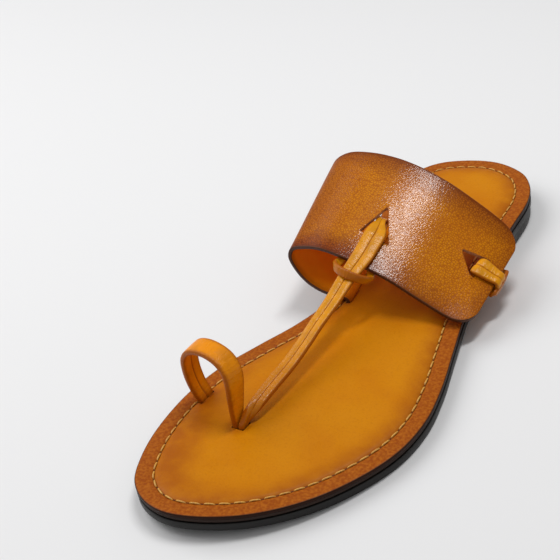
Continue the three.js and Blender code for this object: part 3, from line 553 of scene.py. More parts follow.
# Materials
class Shader:
    """A principled material and short ways to wire its nodes."""

    def __init__(self, name, roughness, coat=0.0, coat_roughness=0.2, specular=0.5):
        self.material = bpy.data.materials.new(name)
        self.material.use_nodes = True
        self.tree = self.material.node_tree
        self.inputs = self.tree.nodes["Principled BSDF"].inputs
        self.inputs["Roughness"].default_value = roughness
        self.inputs["Coat Weight"].default_value = coat
        self.inputs["Coat Roughness"].default_value = coat_roughness
        self.inputs["Specular IOR Level"].default_value = specular
        self.coordinates = self.add("TexCoord", {}, "Object")

    def give(self, target, value):
        if isinstance(value, bpy.types.NodeSocket):
            self.tree.links.new(value, target)
        elif target.type == "RGBA":
            target.default_value = (*value, 1)
        else:
            target.default_value = value

    def add(self, kind, inputs, output=0, **options):
        """Adds a node with its options, gives its inputs, and returns one of its outputs."""
        node = self.tree.nodes.new("ShaderNode" + kind)
        for name, option in options.items():
            setattr(node, name, option)
        for name, value in inputs.items():
            self.give(node.inputs[name], value)
        return node.outputs[output]

    def noise(self, millimetres, detail=2.0, stretch=None):
        vector = self.coordinates
        if stretch is not None:
            vector = self.add("Mapping", {"Vector": vector, "Scale": stretch}, "Vector")
        inputs = {"Scale": 1 / (millimetres * METRE), "Detail": detail, "Vector": vector}
        return self.add("TexNoise", inputs, "Fac")

    def cells(self, millimetres, feature="F1", randomness=1.0):
        size = 1 / (millimetres * METRE)
        inputs = {"Scale": size, "Randomness": randomness, "Vector": self.coordinates}
        return self.add("TexVoronoi", inputs, "Distance", feature=feature)

    def value(self, name):
        return self.add("Attribute", {}, "Fac", attribute_name=name)

    def ramp(self, value, low, high, start=0.0, stop=1.0):
        """A smooth change of a value from start at low to stop at high."""
        inputs = {"Value": value, "From Min": low, "From Max": high, "To Min": start, "To Max": stop}
        return self.add("MapRange", inputs, "Result", interpolation_type="SMOOTHSTEP")

    def math(self, operation, first, second=0.0):
        return self.add("Math", {0: first, 1: second}, operation=operation)

    def blend(self, share, first, second):
        return self.add("Mix", {"Factor": share, 6: first, 7: second}, 2, data_type="RGBA")

    def colour(self, value):
        self.give(self.inputs["Base Color"], value)

    def roughness(self, value):
        self.give(self.inputs["Roughness"], value)

    def relief(self, layers, *sockets):
        """Gives sockets a normal from heights in millimetres, each a value and its depth."""
        below = {}
        for value, depth in layers:
            inputs = {"Strength": 1.0, "Distance": depth * METRE, "Height": value}
            below = {"Normal": self.add("Bump", inputs | below, "Normal")}
        for socket in sockets:
            self.give(self.inputs[socket], below["Normal"])

    def bump(self, *layers):
        self.relief(layers, "Normal", "Coat Normal")


TAN = (0.55, 0.178, 0.001)
TAN_PALE = (0.6, 0.215, 0.002)
SIDE_PAINT = (0.03, 0.009, 0.004)
BURNISH = (0.29, 0.06, 0.003)
BURNISH_PALE = (0.43, 0.12, 0.008)
# Deep brown for burnished edges, and for painted shade in the stitch groove and the grain's valleys
DEEP_BURNISH_AND_SHADE = (0.11, 0.017, 0.002)
AMBER = (0.62, 0.212, 0.001)
AMBER_MOTTLE = (0.56, 0.175, 0.002)
AMBER_DEEP = (0.36, 0.085, 0.002)
LOOP_TAN = (0.84, 0.275, 0.001)
GOLD = (0.76, 0.3, 0.001)
GOLD_DEEP = (0.4, 0.095, 0.002)
# The lining's orange is its own, but it is set brighter to paint in light on the band's shaded inner side
LINING = (0.9, 0.27, 0.002)
LINING_PALE = (0.95, 0.33, 0.005)
RAW_LEATHER = (0.4, 0.2, 0.1)
EDGE_PAINT = (0.055, 0.017, 0.005)
THREAD = (0.75, 0.4, 0.05)
THREAD_DEEP = (0.5, 0.24, 0.05)
RUBBER_BLACK = (0.007, 0.0065, 0.006)
RUBBER_WORN = (0.015, 0.0135, 0.012)
BOARD_PAINT = (0.022, 0.01, 0.006)
# Painted shade in the needle holes
HOLE_SHADE = (0.02, 0.007, 0.003)
FLOOR_PALE = (0.8, 0.8, 0.805)


def footbed_material():
    s = Shader("footbed_leather", 0.45, coat=0.03, coat_roughness=0.35, specular=0.07)
    inset = s.value("inset")
    mottled = s.blend(s.ramp(s.noise(22, detail=5), 0.3, 0.7), TAN, TAN_PALE)
    mottled = s.blend(s.ramp(s.noise(0.8, detail=3), 0.45, 0.8, 0, 0.25), mottled, AMBER_DEEP)
    ragged = s.ramp(s.noise(7, detail=4), 0.25, 0.7, 0.35, 0.85)
    # Burnished leather inside the stitches, with painted shade beside the toe
    shaded = s.blend(s.math("MULTIPLY", s.value("burnish_and_shade"), ragged), mottled, AMBER_DEEP)
    margin = s.blend(s.ramp(s.noise(1.1, detail=4), 0.3, 0.75), BURNISH, BURNISH_PALE)
    body = s.blend(s.ramp(inset, STITCH_MARGIN - 0.9, STITCH_MARGIN + 0.5), margin, shaded)
    # Painted shade along the stitch groove
    groove = s.ramp(s.math("ABSOLUTE", s.math("SUBTRACT", inset, STITCH_MARGIN)), 0.1, 0.75, 0.75, 0)
    body = s.blend(groove, body, DEEP_BURNISH_AND_SHADE)
    body = s.blend(s.ramp(inset, 0.05, 0.6, 1, 0), body, SIDE_PAINT)
    # Painted shade round the loop's slots
    body = s.blend(s.ramp(s.value("slot_shade"), 0, 1, 0, 0.6), body, AMBER_DEEP)
    s.colour(body)
    s.roughness(s.ramp(s.noise(3, detail=4), 0.3, 0.7, 0.36, 0.5))
    s.bump((s.noise(9, detail=3), 0.12), (s.noise(0.7, detail=3), 0.035), (s.cells(0.55), 0.018))
    return s.material


def leather_edge_material(name, colour, roughness=0.45):
    s = Shader(name, roughness, specular=0.25)
    fibre = s.noise(0.6, detail=4, stretch=(1, 1, 3))
    s.colour(s.blend(s.ramp(fibre, 0.3, 0.75), colour, tuple(c * 1.7 for c in colour)))
    s.bump((fibre, 0.05))
    return s.material


def rubber_material():
    s = Shader("black_rubber", 0.45, specular=0.3)
    scuff = s.noise(2.2, detail=4, stretch=(1, 1, 2.5))
    s.colour(s.blend(s.ramp(scuff, 0.35, 0.75), RUBBER_BLACK, RUBBER_WORN))
    s.roughness(s.ramp(scuff, 0.3, 0.7, 0.38, 0.52))
    s.bump((s.noise(0.9, detail=3), 0.02), (s.noise(6, detail=2, stretch=(1, 1, 4)), 0.06))
    return s.material


def band_material():
    s = Shader("pebbled_leather", 0.5, coat_roughness=0.15, specular=0.05)
    wander = s.math("MULTIPLY", s.math("SUBTRACT", s.noise(9, detail=3), 0.5), 6)
    from_free = s.value("from_free")
    front = s.ramp(s.math("ADD", s.value("from_front"), wander), 1.5, 15, 1, 0)
    front = s.math("MULTIPLY", front, s.ramp(from_free, 20, 60, 0.5, 1))
    rear = s.ramp(s.math("ADD", s.value("from_rear"), wander), 1.5, 15, 0.75, 0)
    free = s.ramp(s.math("ADD", from_free, wander), 0.5, 9, 0.55, 0)
    # Darker and browner towards the medial end, far from the free edge
    far = s.ramp(from_free, 60, 98, 0, 0.8)
    edges = s.math("MAXIMUM", s.math("MAXIMUM", front, rear), s.math("MAXIMUM", free, far))
    tone = s.blend(s.ramp(s.noise(14, detail=3), 0.3, 0.7), AMBER, AMBER_MOTTLE)
    tone = s.blend(edges, tone, BURNISH)
    very_edge = s.math("MINIMUM", s.value("from_front"), s.value("from_rear"))
    tone = s.blend(s.ramp(very_edge, 0.2, 3.2, 0.7, 0), tone, DEEP_BURNISH_AND_SHADE)
    pebble = s.cells(1.05, "DISTANCE_TO_EDGE", 0.9)
    # Painted shade in the pebble grain's valleys, deeper brown near the burnished edges
    valley_shade = s.ramp(pebble, 0.0, 0.2, 0.88, 0)
    s.colour(s.blend(valley_shade, tone, s.blend(edges, AMBER_DEEP, DEEP_BURNISH_AND_SHADE)))
    dome = s.ramp(pebble, 0.0, 0.3)
    polish = s.math("MULTIPLY", s.ramp(from_free, 26, 38, 0.06, 0.5), s.ramp(from_free, 58, 74, 1, 0.25))
    s.give(s.inputs["Coat Weight"], polish)
    waves = s.noise(6, detail=2)
    s.relief(((waves, 0.06), (dome, 0.07)), "Normal")
    s.relief(((waves, 0.03), (dome, 0.024)), "Coat Normal")
    return s.material


def lining_material():
    s = Shader("lining_leather", 0.55, specular=0.05)
    tone = s.blend(s.ramp(s.noise(12, detail=4), 0.3, 0.7), LINING, LINING_PALE)
    near_edge = s.math("MINIMUM", s.value("from_front"), s.value("from_rear"))
    s.colour(s.blend(s.ramp(near_edge, 0, 4, 0.6, 0), tone, BURNISH))
    s.bump((s.noise(0.8, detail=3), 0.04))
    return s.material


def strap_material(name, light, deep, roughness, coat):
    """Smooth strap leather: darker towards its edges and ends, with fine wrinkles across."""
    s = Shader(name, roughness, coat=coat, coat_roughness=0.18, specular=0.1)
    tone = s.blend(s.ramp(s.noise(5, detail=4), 0.35, 0.7), light, tuple(0.82 * c for c in light))
    rim = s.math("ADD", s.value("rim"), s.math("MULTIPLY", s.noise(1.2, detail=3), 0.25))
    tone = s.blend(s.ramp(rim, 0.72, 1.12, 0, 0.85), tone, deep)
    s.colour(s.blend(s.ramp(s.value("shade"), 0, 1, 0, 0.9), tone, deep))
    along = s.math("ADD", s.value("length"), s.math("MULTIPLY", s.noise(2.5), 2.5))
    wrinkle = s.add("TexNoise", {"Scale": 0.9, "Detail": 3, "W": along}, "Fac", noise_dimensions="1D")
    s.bump((wrinkle, 0.2), (s.noise(0.7, detail=3), 0.06), (s.cells(0.6), 0.03))
    return s.material


def thread_material():
    s = Shader("waxed_thread", 0.45)
    s.colour(s.blend(s.ramp(s.noise(0.5, detail=2), 0.3, 0.7), THREAD, THREAD_DEEP))
    s.bump((s.noise(0.25, detail=2), 0.05))
    return s.material


FOOTBED = footbed_material()
RUBBER = rubber_material()
BOARD = leather_edge_material("dark_board", BOARD_PAINT, roughness=0.6)
BAND = band_material()
BAND_LINING = lining_material()
BAND_EDGE = leather_edge_material("painted_edge", EDGE_PAINT, roughness=0.4)
CUT_EDGE = leather_edge_material("cut_edge", RAW_LEATHER, roughness=0.7)
LOOP = strap_material("loop_leather", LOOP_TAN, AMBER_DEEP, roughness=0.42, coat=0.15)
LACE = strap_material("lace_leather", GOLD, GOLD_DEEP, roughness=0.4, coat=0.3)
STITCH = thread_material()
NEEDLE_HOLE_SHADE = leather_edge_material("needle_hole_shade", HOLE_SHADE, roughness=0.8)


# The sole's layers
def layer_heights(top, thickness):
    """A layer's top and underside, each as a height over a place along the sole."""
    above = lambda y: top + ride_height(y)
    return above, lambda y: above(y) - thickness


def rounded(inset, height, radius, underside=False):
    """Three rings round an edge: side to top, or underside to side."""
    rings = []
    for side, depth in ((1.0, 0.0), (0.29, 0.29), (0.0, 1.0)):
        rise = side * radius * (1 if underside else -1)
        rings.append((inset + radius * depth, lambda y, rise=rise: height(y) + rise))
    return rings[::-1] if underside else rings


def make_outsole():
    top, under = layer_heights(OUTSOLE_TOP, OUTSOLE_THICKNESS)
    profile = [
        *rounded(0.0, under, TREAD_ROUND, underside=True),
        (0.0, lambda y: under(y) + OUTSOLE_SIDE_RING),
        *rounded(0.0, top, OUTSOLE_ROUND),
    ]
    points, faces, _ = sole_solid(profile, cross_steps=10)
    plate = make_object("outsole_plate", points, faces, materials=[RUBBER])
    profile = [
        *rounded(HEEL_BLOCK_INSET, lambda y: 0 * y, TREAD_ROUND, underside=True),
        (HEEL_BLOCK_INSET, lambda y: 0 * y + HEEL_SIDE_RING),
        (HEEL_BLOCK_INSET, lambda y: under(y) + OUTSOLE_THICKNESS / 2),
    ]
    points, faces, _ = sole_solid(profile, cross_steps=10)
    block = make_object("heel_block", points, faces, materials=[RUBBER])
    breast = along_at(HEEL_BREAST_SHARE)
    keep = upright_cutter(
        "behind_breast", (0, breast), (0, breast + SOLE_LENGTH), BALL_WIDTH * 2, -SOLE_LENGTH, SOLE_LENGTH
    )
    combine(block, [keep], "INTERSECT")
    combine(plate, [block], "UNION")
    plate.name = "outsole_rubber"
    soften_edges(plate, 40)
    return plate


def combine(obj, others, operation):
    """Joins, cuts or meets a mesh with others, which are then removed."""
    for other in others:
        modifier = obj.modifiers.new("cut", "BOOLEAN")
        modifier.operation = operation
        modifier.solver = "EXACT"
        modifier.object = other
    depsgraph = bpy.context.evaluated_depsgraph_get()
    mesh = bpy.data.meshes.new_from_object(obj.evaluated_get(depsgraph))
    obj.modifiers.clear()
    old = obj.data
    obj.data = mesh
    bpy.data.meshes.remove(old)
    for other in others:
        bpy.data.objects.remove(other)


def soften_edges(obj, degrees):
    obj.data.set_sharp_from_angle(angle=math.radians(degrees))


def upright_cutter(name, start, stop, width, low, high):
    start = np.array(start, float)
    stop = np.array(stop, float)
    run = unit(stop - start)
    beside = np.array([-run[1], run[0]]) * width / 2
    floor = [start + beside, start - beside, stop - beside, stop + beside]
    corners = [(*p, low) for p in floor] + [(*p, high) for p in floor]
    sides = [(3, 2, 1, 0), (4, 5, 6, 7), (0, 1, 5, 4), (1, 2, 6, 5), (2, 3, 7, 6), (3, 0, 4, 7)]
    return make_object(name, corners, sides)


def slot_cutters(name, clearance):
    low = -GAP
    high = FOOTBED_TOP + HEEL_LIFT + TOE_SPRING + CROWN + GAP

    def slot(label, x, y, length, left, right):
        half = length / 2 + clearance
        middle = x + (left + right) / 2
        width = right - left + clearance * 2
        return upright_cutter(f"{name}_{label}", (middle, y - half), (middle, y + half), width, low, high)

    run = band_slot_run * clearance
    wall = BAND_WALL + clearance * 2
    half_loop = LOOP_THICKNESS / 2
    half_lace = LACE_THICKNESS / 2
    past_thong = thong_x + FOLDED_THICKNESS / 2 - post_x
    return [
        upright_cutter(name + "_band", band_slot_front - run, band_slot_rear + run, wall, low, high),
        slot("post", post_x, post_y, LOOP_WIDTH * LOOP_POST_WIDE, -half_loop, past_thong),
        slot("loop", loop_slot_x, loop_slot_y, LOOP_WIDTH * LOOP_SLOT_WIDE, -half_loop, half_loop),
        slot("side", side_slot_x, side_slot_y, LACE_WIDTH * 2, -half_lace, half_lace),
    ]


def make_board():
    top, under = layer_heights(BOARD_TOP, BOARD_THICKNESS)
    profile = rounded(BOARD_INSET, under, BOARD_ROUND, underside=True)
    profile += rounded(BOARD_INSET, top, BOARD_ROUND)
    points, faces, _ = sole_solid(profile, cross_steps=6)
    board = make_object("board_edge", points, faces, materials=[BOARD])
    combine(board, slot_cutters("board_slot", SLOT_CLEARANCE), "DIFFERENCE")
    soften_edges(board, 40)
    return board


def near_slots(points):
    """How closely each point lies to one of the loop's slots, from 0 to 1."""
    closeness = np.zeros(len(points))
    places = ((post_x + POST_DENT_SHIFT, post_y, POST_DENT), (loop_slot_x, loop_slot_y, LOOP_DENT))
    for x, y, (wide, long) in places:
        reach = np.hypot((points[:, 0] - x) / wide, (points[:, 1] - y) / long)
        closeness = np.maximum(closeness, 1 - smooth_step(reach, 0.35, 1.25))
    return closeness


def make_footbed():
    top, under = layer_heights(FOOTBED_TOP, FOOTBED_THICKNESS)
    profile = rounded(0.0, under, FOOTBED_UNDER_ROUND, underside=True)
    profile += rounded(0.0, top, FOOTBED_ROUND)
    for past, rise in FOOTBED_RELIEF:
        profile.append((STITCH_MARGIN + past, lambda y, rise=rise: top(y) + rise))

    def dented(points, insets):
        inside = smooth_step(insets, STITCH_MARGIN + 1, STITCH_MARGIN + 4)
        upper = points[:, 2] > top(points[:, 1]) - 0.2
        points[:, 2] -= np.where(upper, near_slots(points) * DENT_DEPTH * inside, 0)
        return points

    points, faces, insets = sole_solid(profile, cross_steps=44, relief=dented)
    # Painted shade: the darkening inside the stitches reaches further in beside the toe's medial side
    toe = smooth_step(-points[:, 1], 30, 110) * smooth_step(-points[:, 0], -15, 25)
    values = {
        "inset": insets,
        # Painted shade round the loop's slots
        "slot_shade": near_slots(points),
        "burnish_and_shade": 1 - smooth_step(insets / (BURNISH_REACH + TOE_SHADE_REACH * toe), 0.35, 1),
    }
    footbed = make_object("footbed_leather", points, faces, values, materials=[FOOTBED])
    combine(footbed, slot_cutters("footbed_slot", FOOTBED_SLOT_CLEARANCE), "DIFFERENCE")
    soften_edges(footbed, 40)
    return footbed


def stitch_line():
    """The stitch groove as a closed line, and the length along it at each of its points."""
    fine = rim_points + rim_inward * STITCH_MARGIN
    closed = np.vstack([fine, fine[:1]])
    steps = np.linalg.norm(np.diff(closed[:, :2], axis=0), axis=1)
    return closed, np.concatenate([[0], np.cumsum(steps)])


def groove_point(line, lengths, distance):
    distance = np.mod(distance, lengths[-1])
    x = np.interp(distance, lengths, line[:, 0])
    y = np.interp(distance, lengths, line[:, 1])
    z = FOOTBED_TOP + ride_height(y) - GROOVE_DEPTH
    return np.stack([x, y, z], axis=-1)


def tube_faces(rows, sides, base):
    """Faces of a closed tube of rings, whose first point has the number base."""
    faces = loop_faces(rows, sides)
    faces.append(tuple(range(sides))[::-1])
    faces.append(tuple((rows - 1) * sides + i for i in range(sides)))
    return [tuple(base + i for i in face) for face in faces]


def make_stitches():
    """Each stitch is a short round thread that dips into its holes, each hole a dark blob of painted shade.
    Returns threads and holes.
    """
    line, lengths = stitch_line()
    count = round(lengths[-1] / STITCH_PITCH)
    pitch = lengths[-1] / count
    turns = np.arange(THREAD_SIDES) * 2 * math.pi / THREAD_SIDES
    up = np.array([0, 0, 1])
    points = []
    faces = []
    hole_points = []
    hole_faces = []
    for k in range(count):
        middle = groove_point(line, lengths, (k + 0.5) * pitch)
        onward = unit(groove_point(line, lengths, (k + 0.5) * pitch + 0.5) - middle)
        outward = unit(np.cross(onward, up))
        from_slot = middle[:2] - band_slot_front
        beside_slot = abs(from_slot[0] * band_slot_run[1] - from_slot[1] * band_slot_run[0])
        if beside_slot < SLOT_STITCH_GAP and -2 < from_slot @ band_slot_run < BAND_LENGTH + 4:
            continue
        faces += tube_faces(len(STITCH_SECTIONS), THREAD_SIDES, len(points))
        for place, rise, thick in STITCH_SECTIONS:
            at = groove_point(line, lengths, (k + 0.5 + place * STITCH_LENGTH / pitch) * pitch)
            at = at + outward * place * STITCH_SLANT * STITCH_LENGTH + up * rise
            for turn in turns:
                across = outward * math.cos(turn) + up * math.sin(turn)
                points.append(at + across * STITCH_RADIUS * thick)
        # A dark blob of painted shade at each needle hole
        hole = groove_point(line, lengths, k * pitch)
        hole_faces += tube_faces(len(HOLE_SECTIONS), THREAD_SIDES, len(hole_points))
        for height, radius in HOLE_SECTIONS:
            for turn in turns:
                ring = onward * math.cos(turn) * HOLE_OVAL + outward * math.sin(turn)
                hole_points.append(hole + ring * radius + up * height)
    threads = make_object("footbed_stitches", points, faces, materials=[STITCH])
    holes = make_object("stitch_hole_shade", hole_points, hole_faces, materials=[NEEDLE_HOLE_SHADE])
    return threads, holes


# The instep band
def corner_inset(from_free):
    reach = np.maximum(0, BAND_CORNER - np.asarray(from_free, float))
    return BAND_CORNER - np.sqrt(np.maximum(0, BAND_CORNER ** 2 - reach ** 2))


def slit_relief(from_free, from_front):
    """How far the leather is lifted beside the slits' arms or pushed down under the laces.

    Each smooth step says between which distances a lift or a press comes in or fades.
    """
    lift = np.zeros(len(from_free))
    for hitch, front in ((FRONT_HITCH, True), (SIDE_HITCH, False)):
        inward = from_front if front else from_free
        beside = hitch["place"] - from_free if front else from_front - hitch["place"]
        low, high = slit_sides(hitch, inward)
        outside = np.maximum(low - beside, beside - high)
        start = (hitch["low"][0] + hitch["high"][0]) / 2
        apex = hitch["apex"][0]
        along = smooth_step(inward, start - 2.5, start + 4)
        along = along * (1 - smooth_step(inward, apex - 1, apex + 3.5))
        lip = np.exp(-np.maximum(0, outside) / LIP_REACH) * (outside > -0.2)
        flap = smooth_step(-outside, 0.0, 2.2) * (inward < apex)
        lift += along * (LIP_LIFT * lip - FLAP_PRESS * flap)
        under_lace = smooth_step(inward, -1, 3) * (1 - smooth_step(inward, start, start + 3))
        lift -= smooth_step(-outside, -3.0, 2.0) * under_lace * UNDER_LACE_PRESS
    return lift


def make_band():
    round_edge = BAND_EDGE_ROUND
    half = BAND_WALL / 2
    near_edge = round_edge * np.array([0, 0.15, 0.5])
    stations = np.concatenate([near_edge, np.linspace(round_edge, BAND_GIRTH, BAND_STEPS_AROUND)])[::-1]
    quarter = [math.radians(a) for a in (0, 30, 60)]
    turn = [(round_edge * (1 - math.cos(a)), half - round_edge * (1 - math.sin(a))) for a in quarter]
    flat = np.linspace(0, 1, BAND_STEPS_ACROSS + 1)
    points = []
    fronts = []
    frees = []
    for station in stations:
        inset = float(corner_inset(station))
        closing = math.sqrt(max(0.0, 1 - (1 - min(1, station / round_edge)) ** 2))
        thin = (half - round_edge + round_edge * closing) / half
        inner = flat * (BAND_LENGTH - 2 * (inset + round_edge)) + inset + round_edge
        front_turn = [(inset + x, z) for x, z in turn]
        rear_turn = [(BAND_LENGTH - inset - x, z) for x, z in reversed(turn)]
        upper = front_turn + [(x, half) for x in inner] + rear_turn
        ring = upper + [(x, -z) for x, z in reversed(upper)]
        from_front, lifts = np.array(ring).T
        from_free = np.full(len(ring), station)
        at, _, _, up = on_band(from_free, from_front)
        lifts = lifts * thin + slit_relief(from_free, from_front)
        points.append(at + up * lifts[:, None])
        fronts.append(from_front)
        frees.append(from_free)
    count = len(points[0])
    faces = loop_faces(len(stations), count)
    faces += strip_cap(0, count, flip=True) + strip_cap((len(stations) - 1) * count, count)
    leathers = [BAND, BAND_LINING, BAND_EDGE, CUT_EDGE]
    outer = [leathers.index(BAND)] * len(flat)
    lining = [leathers.index(BAND_LINING)] * len(flat)
    painted = [leathers.index(BAND_EDGE)]
    round_side = painted * len(turn)
    ring_slots = round_side + outer + round_side + round_side + lining + round_side
    slots = ring_slots * (len(stations) - 1) + painted * (count - 2)
    fronts = np.concatenate(fronts)
    values = {"from_front": fronts, "from_rear": BAND_LENGTH - fronts, "from_free": np.concatenate(frees)}
    band = make_object("instep_band_leather", np.vstack(points), faces, values, slots, leathers)
    turn_outward(band)
    combine(band, [slit_cutter("front_slit", front_frame, FRONT_HITCH)], "DIFFERENCE")
    combine(band, [slit_cutter("side_slit", side_frame, SIDE_HITCH)], "DIFFERENCE")
    soften_edges(band, 50)
    return band


def slit_cutter(name, frame_at, hitch):
    """A closed wedge through the band, from the ends of a slit's arms to its apex."""
    low_end = np.array(hitch["low"])
    high_end = np.array(hitch["high"])
    across_apex = np.array([0, SLIT_WIDTH])
    steps = 24
    shares = np.linspace(0, 1, steps + 1)[:, None, None]
    base = low_end + (high_end - low_end) * shares
    tip = np.array(hitch["apex"]) + across_apex * (shares - 0.5)
    grid = base + (tip - base) * np.linspace(0, 1, 7)[:, None]
    at, up, _, _ = frame_at(grid[..., 0], grid[..., 1])
    middle = at.reshape(*grid.shape[:2], 3)
    deep = up.reshape(middle.shape) * BAND_WALL * 1.2
    rings = np.concatenate([middle - deep, (middle + deep)[:, ::-1]], axis=1)
    count = rings.shape[1]
    faces = loop_faces(steps + 1, count)
    faces += strip_cap(0, count, flip=True) + strip_cap(steps * count, count)
    cutter = make_object(name, rings.reshape(-1, 3), faces, materials=[CUT_EDGE])
    turn_outward(cutter)
    return cutter


def turn_outward(obj):
    """Makes a closed mesh's faces point out, judged by its volume's sign."""
    corners = np.array([v.co[:] for v in obj.data.vertices])
    volume = 0.0
    for polygon in obj.data.polygons:
        first, *rest = corners[list(polygon.vertices)]
        for a, b in zip(rest, rest[1:]):
            volume += np.dot(first, np.cross(a, b))
    if volume < 0:
        obj.data.flip_normals()


# Straps swept through knots, each knot a place, a facing direction, a width and a thickness
def swept(knots, step, section):
    """Points, faces and values of a closed strap. The section is shares across and through."""
    places = np.array([knot[0] for knot in knots], float)
    facings = np.array([knot[1] for knot in knots], float)
    sizes = np.array([knot[2:4] for knot in knots], float)
    curve = Spline(places)
    _, length = curve.even(2)
    count = math.ceil(length / step) + 1
    shares, _ = curve.even(count)
    at = curve.at(shares)
    run = curve.tangent(shares)
    place = shares * (len(knots) - 1)
    low = np.clip(np.floor(place).astype(int), 0, len(knots) - 2)
    part = (place - low)[:, None]
    face = facings[low] * (1 - part) + facings[low + 1] * part
    size = sizes[low] * (1 - part) + sizes[low + 1] * part
    face = unit(face - run * np.sum(face * run, axis=1, keepdims=True))
    side = np.cross(run, face)
    wide, deep = np.array(section).T
    points = (
        at[:, None] + side[:, None] * (wide[None, :, None] * size[:, None, :1] / 2)
        + face[:, None] * (deep[None, :, None] * size[:, None, 1:] / 2)
    )
    faces = [face[::-1] for face in tube_faces(count, len(section), 0)]
    values = {
        "length": np.repeat(np.linspace(0, length, count), len(section)),
        "rim": np.tile(np.abs(wide), count),
        "through": np.tile(deep, count),
    }
    return points.reshape(-1, 3), faces, values


def strap_section(points_per_side, corner, crown, groove=0.0):
    """A flat strap's section with round edges, a crowned outer face and a grooved inner one."""
    flat = 1 - corner
    outer = [(x, 1 - crown * x * x) for x in np.linspace(flat, -flat, points_per_side)]
    for a in np.linspace(90, 270, 9)[1:-1]:
        turn = math.radians(a)
        outer.append((corner * math.cos(turn) - flat, (1 - crown * flat ** 2) * math.sin(turn)))
    inner = [(-x, groove * math.exp(-(x / GROOVE_SPREAD) ** 2) - z) for x, z in outer]
    return outer + inner


def make_loop():
    def upright(x, y, wide):
        heights = (SLOT_FLOOR, SLOT_FLOOR / 2, CROWN + GAP)
        return [(over_footbed(x, y, height), wide) for height in heights]

    path = upright(post_x, post_y, LOOP_POST_WIDE)
    for index, (across, rise, wide) in enumerate(LOOP_SECTIONS):
        share = (index + 1) / (len(LOOP_SECTIONS) + 1)
        y = post_y + (loop_slot_y - post_y) * share + LOOP_LEAN * rise
        path.append((over_footbed(post_x - LOOP_SPAN * across, y, LOOP_RISE * rise), wide))
    path += upright(loop_slot_x, loop_slot_y, LOOP_SLOT_WIDE)[::-1]
    places = np.array([p for p, _ in path])
    middle = np.array(over_footbed(post_x - LOOP_SPAN / 2, post_y, LOOP_RISE / 2))
    run = Spline(places).tangent(np.linspace(0, 1, len(path)))
    facing = unit(np.cross(run, (0, 1, 0)))
    away = places - middle
    away[:, 1] = 0
    flip = np.sign(np.sum(facing * away, axis=1))
    knots = []
    for k, (place, wide) in enumerate(path):
        knots.append((place, facing[k] * flip[k], LOOP_WIDTH * wide, LOOP_THICKNESS))
    section = strap_section(13, corner=0.13, crown=0.12, groove=0.3)
    points, faces, values = swept(knots, LOOP_STEP, section)
    seam = (values["through"] < 0) * np.exp(-(values["rim"] / SEAM_SPREAD) ** 2)
    foot = 1 - smooth_step(points[:, 2] - FOOTBED_TOP, 0, 7)
    values["shade"] = np.maximum(seam, foot * LOOP_FOOT_SHADE)
    loop = make_object("toe_loop_leather", points, faces, values, materials=[LOOP])
    turn_outward(loop)
    return loop


def hitch_knots(tie, side):
    hitch = tie["hitch"]
    ring = tie["ring"]
    half = ring["half"] - LACE_THICKNESS / 2

    def knot(inward, beside, lift, looks, width, thickness=LACE_THICKNESS):
        at, above, inside, aside = (way[0] for way in tie["frame_at"](inward, beside))
        up, towards, across = looks
        face = above * up + inside * towards + aside * across * side
        return (at + above * lift, unit(face * tie["facing"]), width, thickness)

    def beside_of(middle, width):
        return middle + side * width * LACE_TOUCH / 2

    past, _, middle, fold_width, _, _ = tie["through"][0]
    fold_inward = flap_tip(hitch, beside_of(middle, fold_width)) + past
    knots = []
    for share in OVER_SHARES:
        width = tie["edge_width"] + (fold_width - tie["edge_width"]) * share
        beside = beside_of(middle * share, width)
        knots.append(knot(fold_inward * share, beside, LACE_LIFT, (1, 0, 0), width))
    for past, lift, middle, width, thickness, turn in tie["through"]:
        beside = beside_of(middle, width)
        angle = math.radians(turn)
        looks = (math.cos(angle), math.sin(angle), 0)
        inward = flap_tip(hitch, beside) + past
        knots.append(knot(inward, beside, LACE_LIFT * lift, looks, width, thickness))
    beside = side * half * UNDER_SPREAD + ring["beside"] * UNDER_SHARE
    knots.append(knot(fold_inward * UNDER_SHARE, beside, -LACE_LIFT, (-1, 0, 0), LACE_WIDTH * UNDER_WIDTH))
    beside = side * half * TURNING_SPREAD + ring["beside"]
    knots.append(knot(GAP, beside, -LACE_LIFT - GAP, (-1, 0, 0), LACE_WIDTH * TURNING_WIDTH))
    rise = ring["crown"] + LACE_LIFT
    near = LACE_THICKNESS / 2 + GAP * 2
    far = ring["reach"] - LACE_THICKNESS / 2
    for reach, wide, height, *looks in tie["ring_sections"]:
        inward = -(near + (far - near) * reach)
        beside = side * half * wide + ring["shift"] * reach * reach + ring["beside"]
        knots.append(knot(inward, beside, rise * height - LACE_LIFT, looks, LACE_WIDTH * RING_WIDTH))
    return knots


def toe_thong_knots(side):
    edge_at, up, _, across = (way[0] for way in front_frame(0, 0))
    edge_at = edge_at + up * LACE_LIFT
    edge_rise = edge_at[2] - float(footbed_height(edge_at[1]))
    rows = [
        (0, SLOT_FLOOR / edge_rise, 0, GATHERED_WIDTH, FOLDED_THICKNESS, 0, 0),
        (0, (CROWN + GAP) / edge_rise, 0, GATHERED_WIDTH, FOLDED_THICKNESS, 0, 0),
        *THONG_SECTIONS,
    ]
    middles = []
    for along, rise, *_, swing, _ in rows:
        x = thong_x + (edge_at[0] - thong_x) * along + LACE_WIDTH * swing
        y = post_y + (edge_at[1] - post_y) * along
        middles.append(over_footbed(x, y, edge_rise * rise))
    curve = Spline([*middles, edge_at])
    run = curve.tangent(np.arange(len(rows)) / len(rows))
    knots = []
    for k, (_, _, turn, width, thickness, _, bank) in enumerate(rows):
        angle = math.radians(turn)
        beside = np.array([math.sin(angle), math.cos(angle), 0]) * (1 - bank) + across * bank
        beside = unit(beside - run[k] * (beside @ run[k]))
        place = np.array(middles[k]) + beside * side * width * LACE_TOUCH / 2
        knots.append((place, np.cross(beside, run[k]), width, thickness))
    return knots


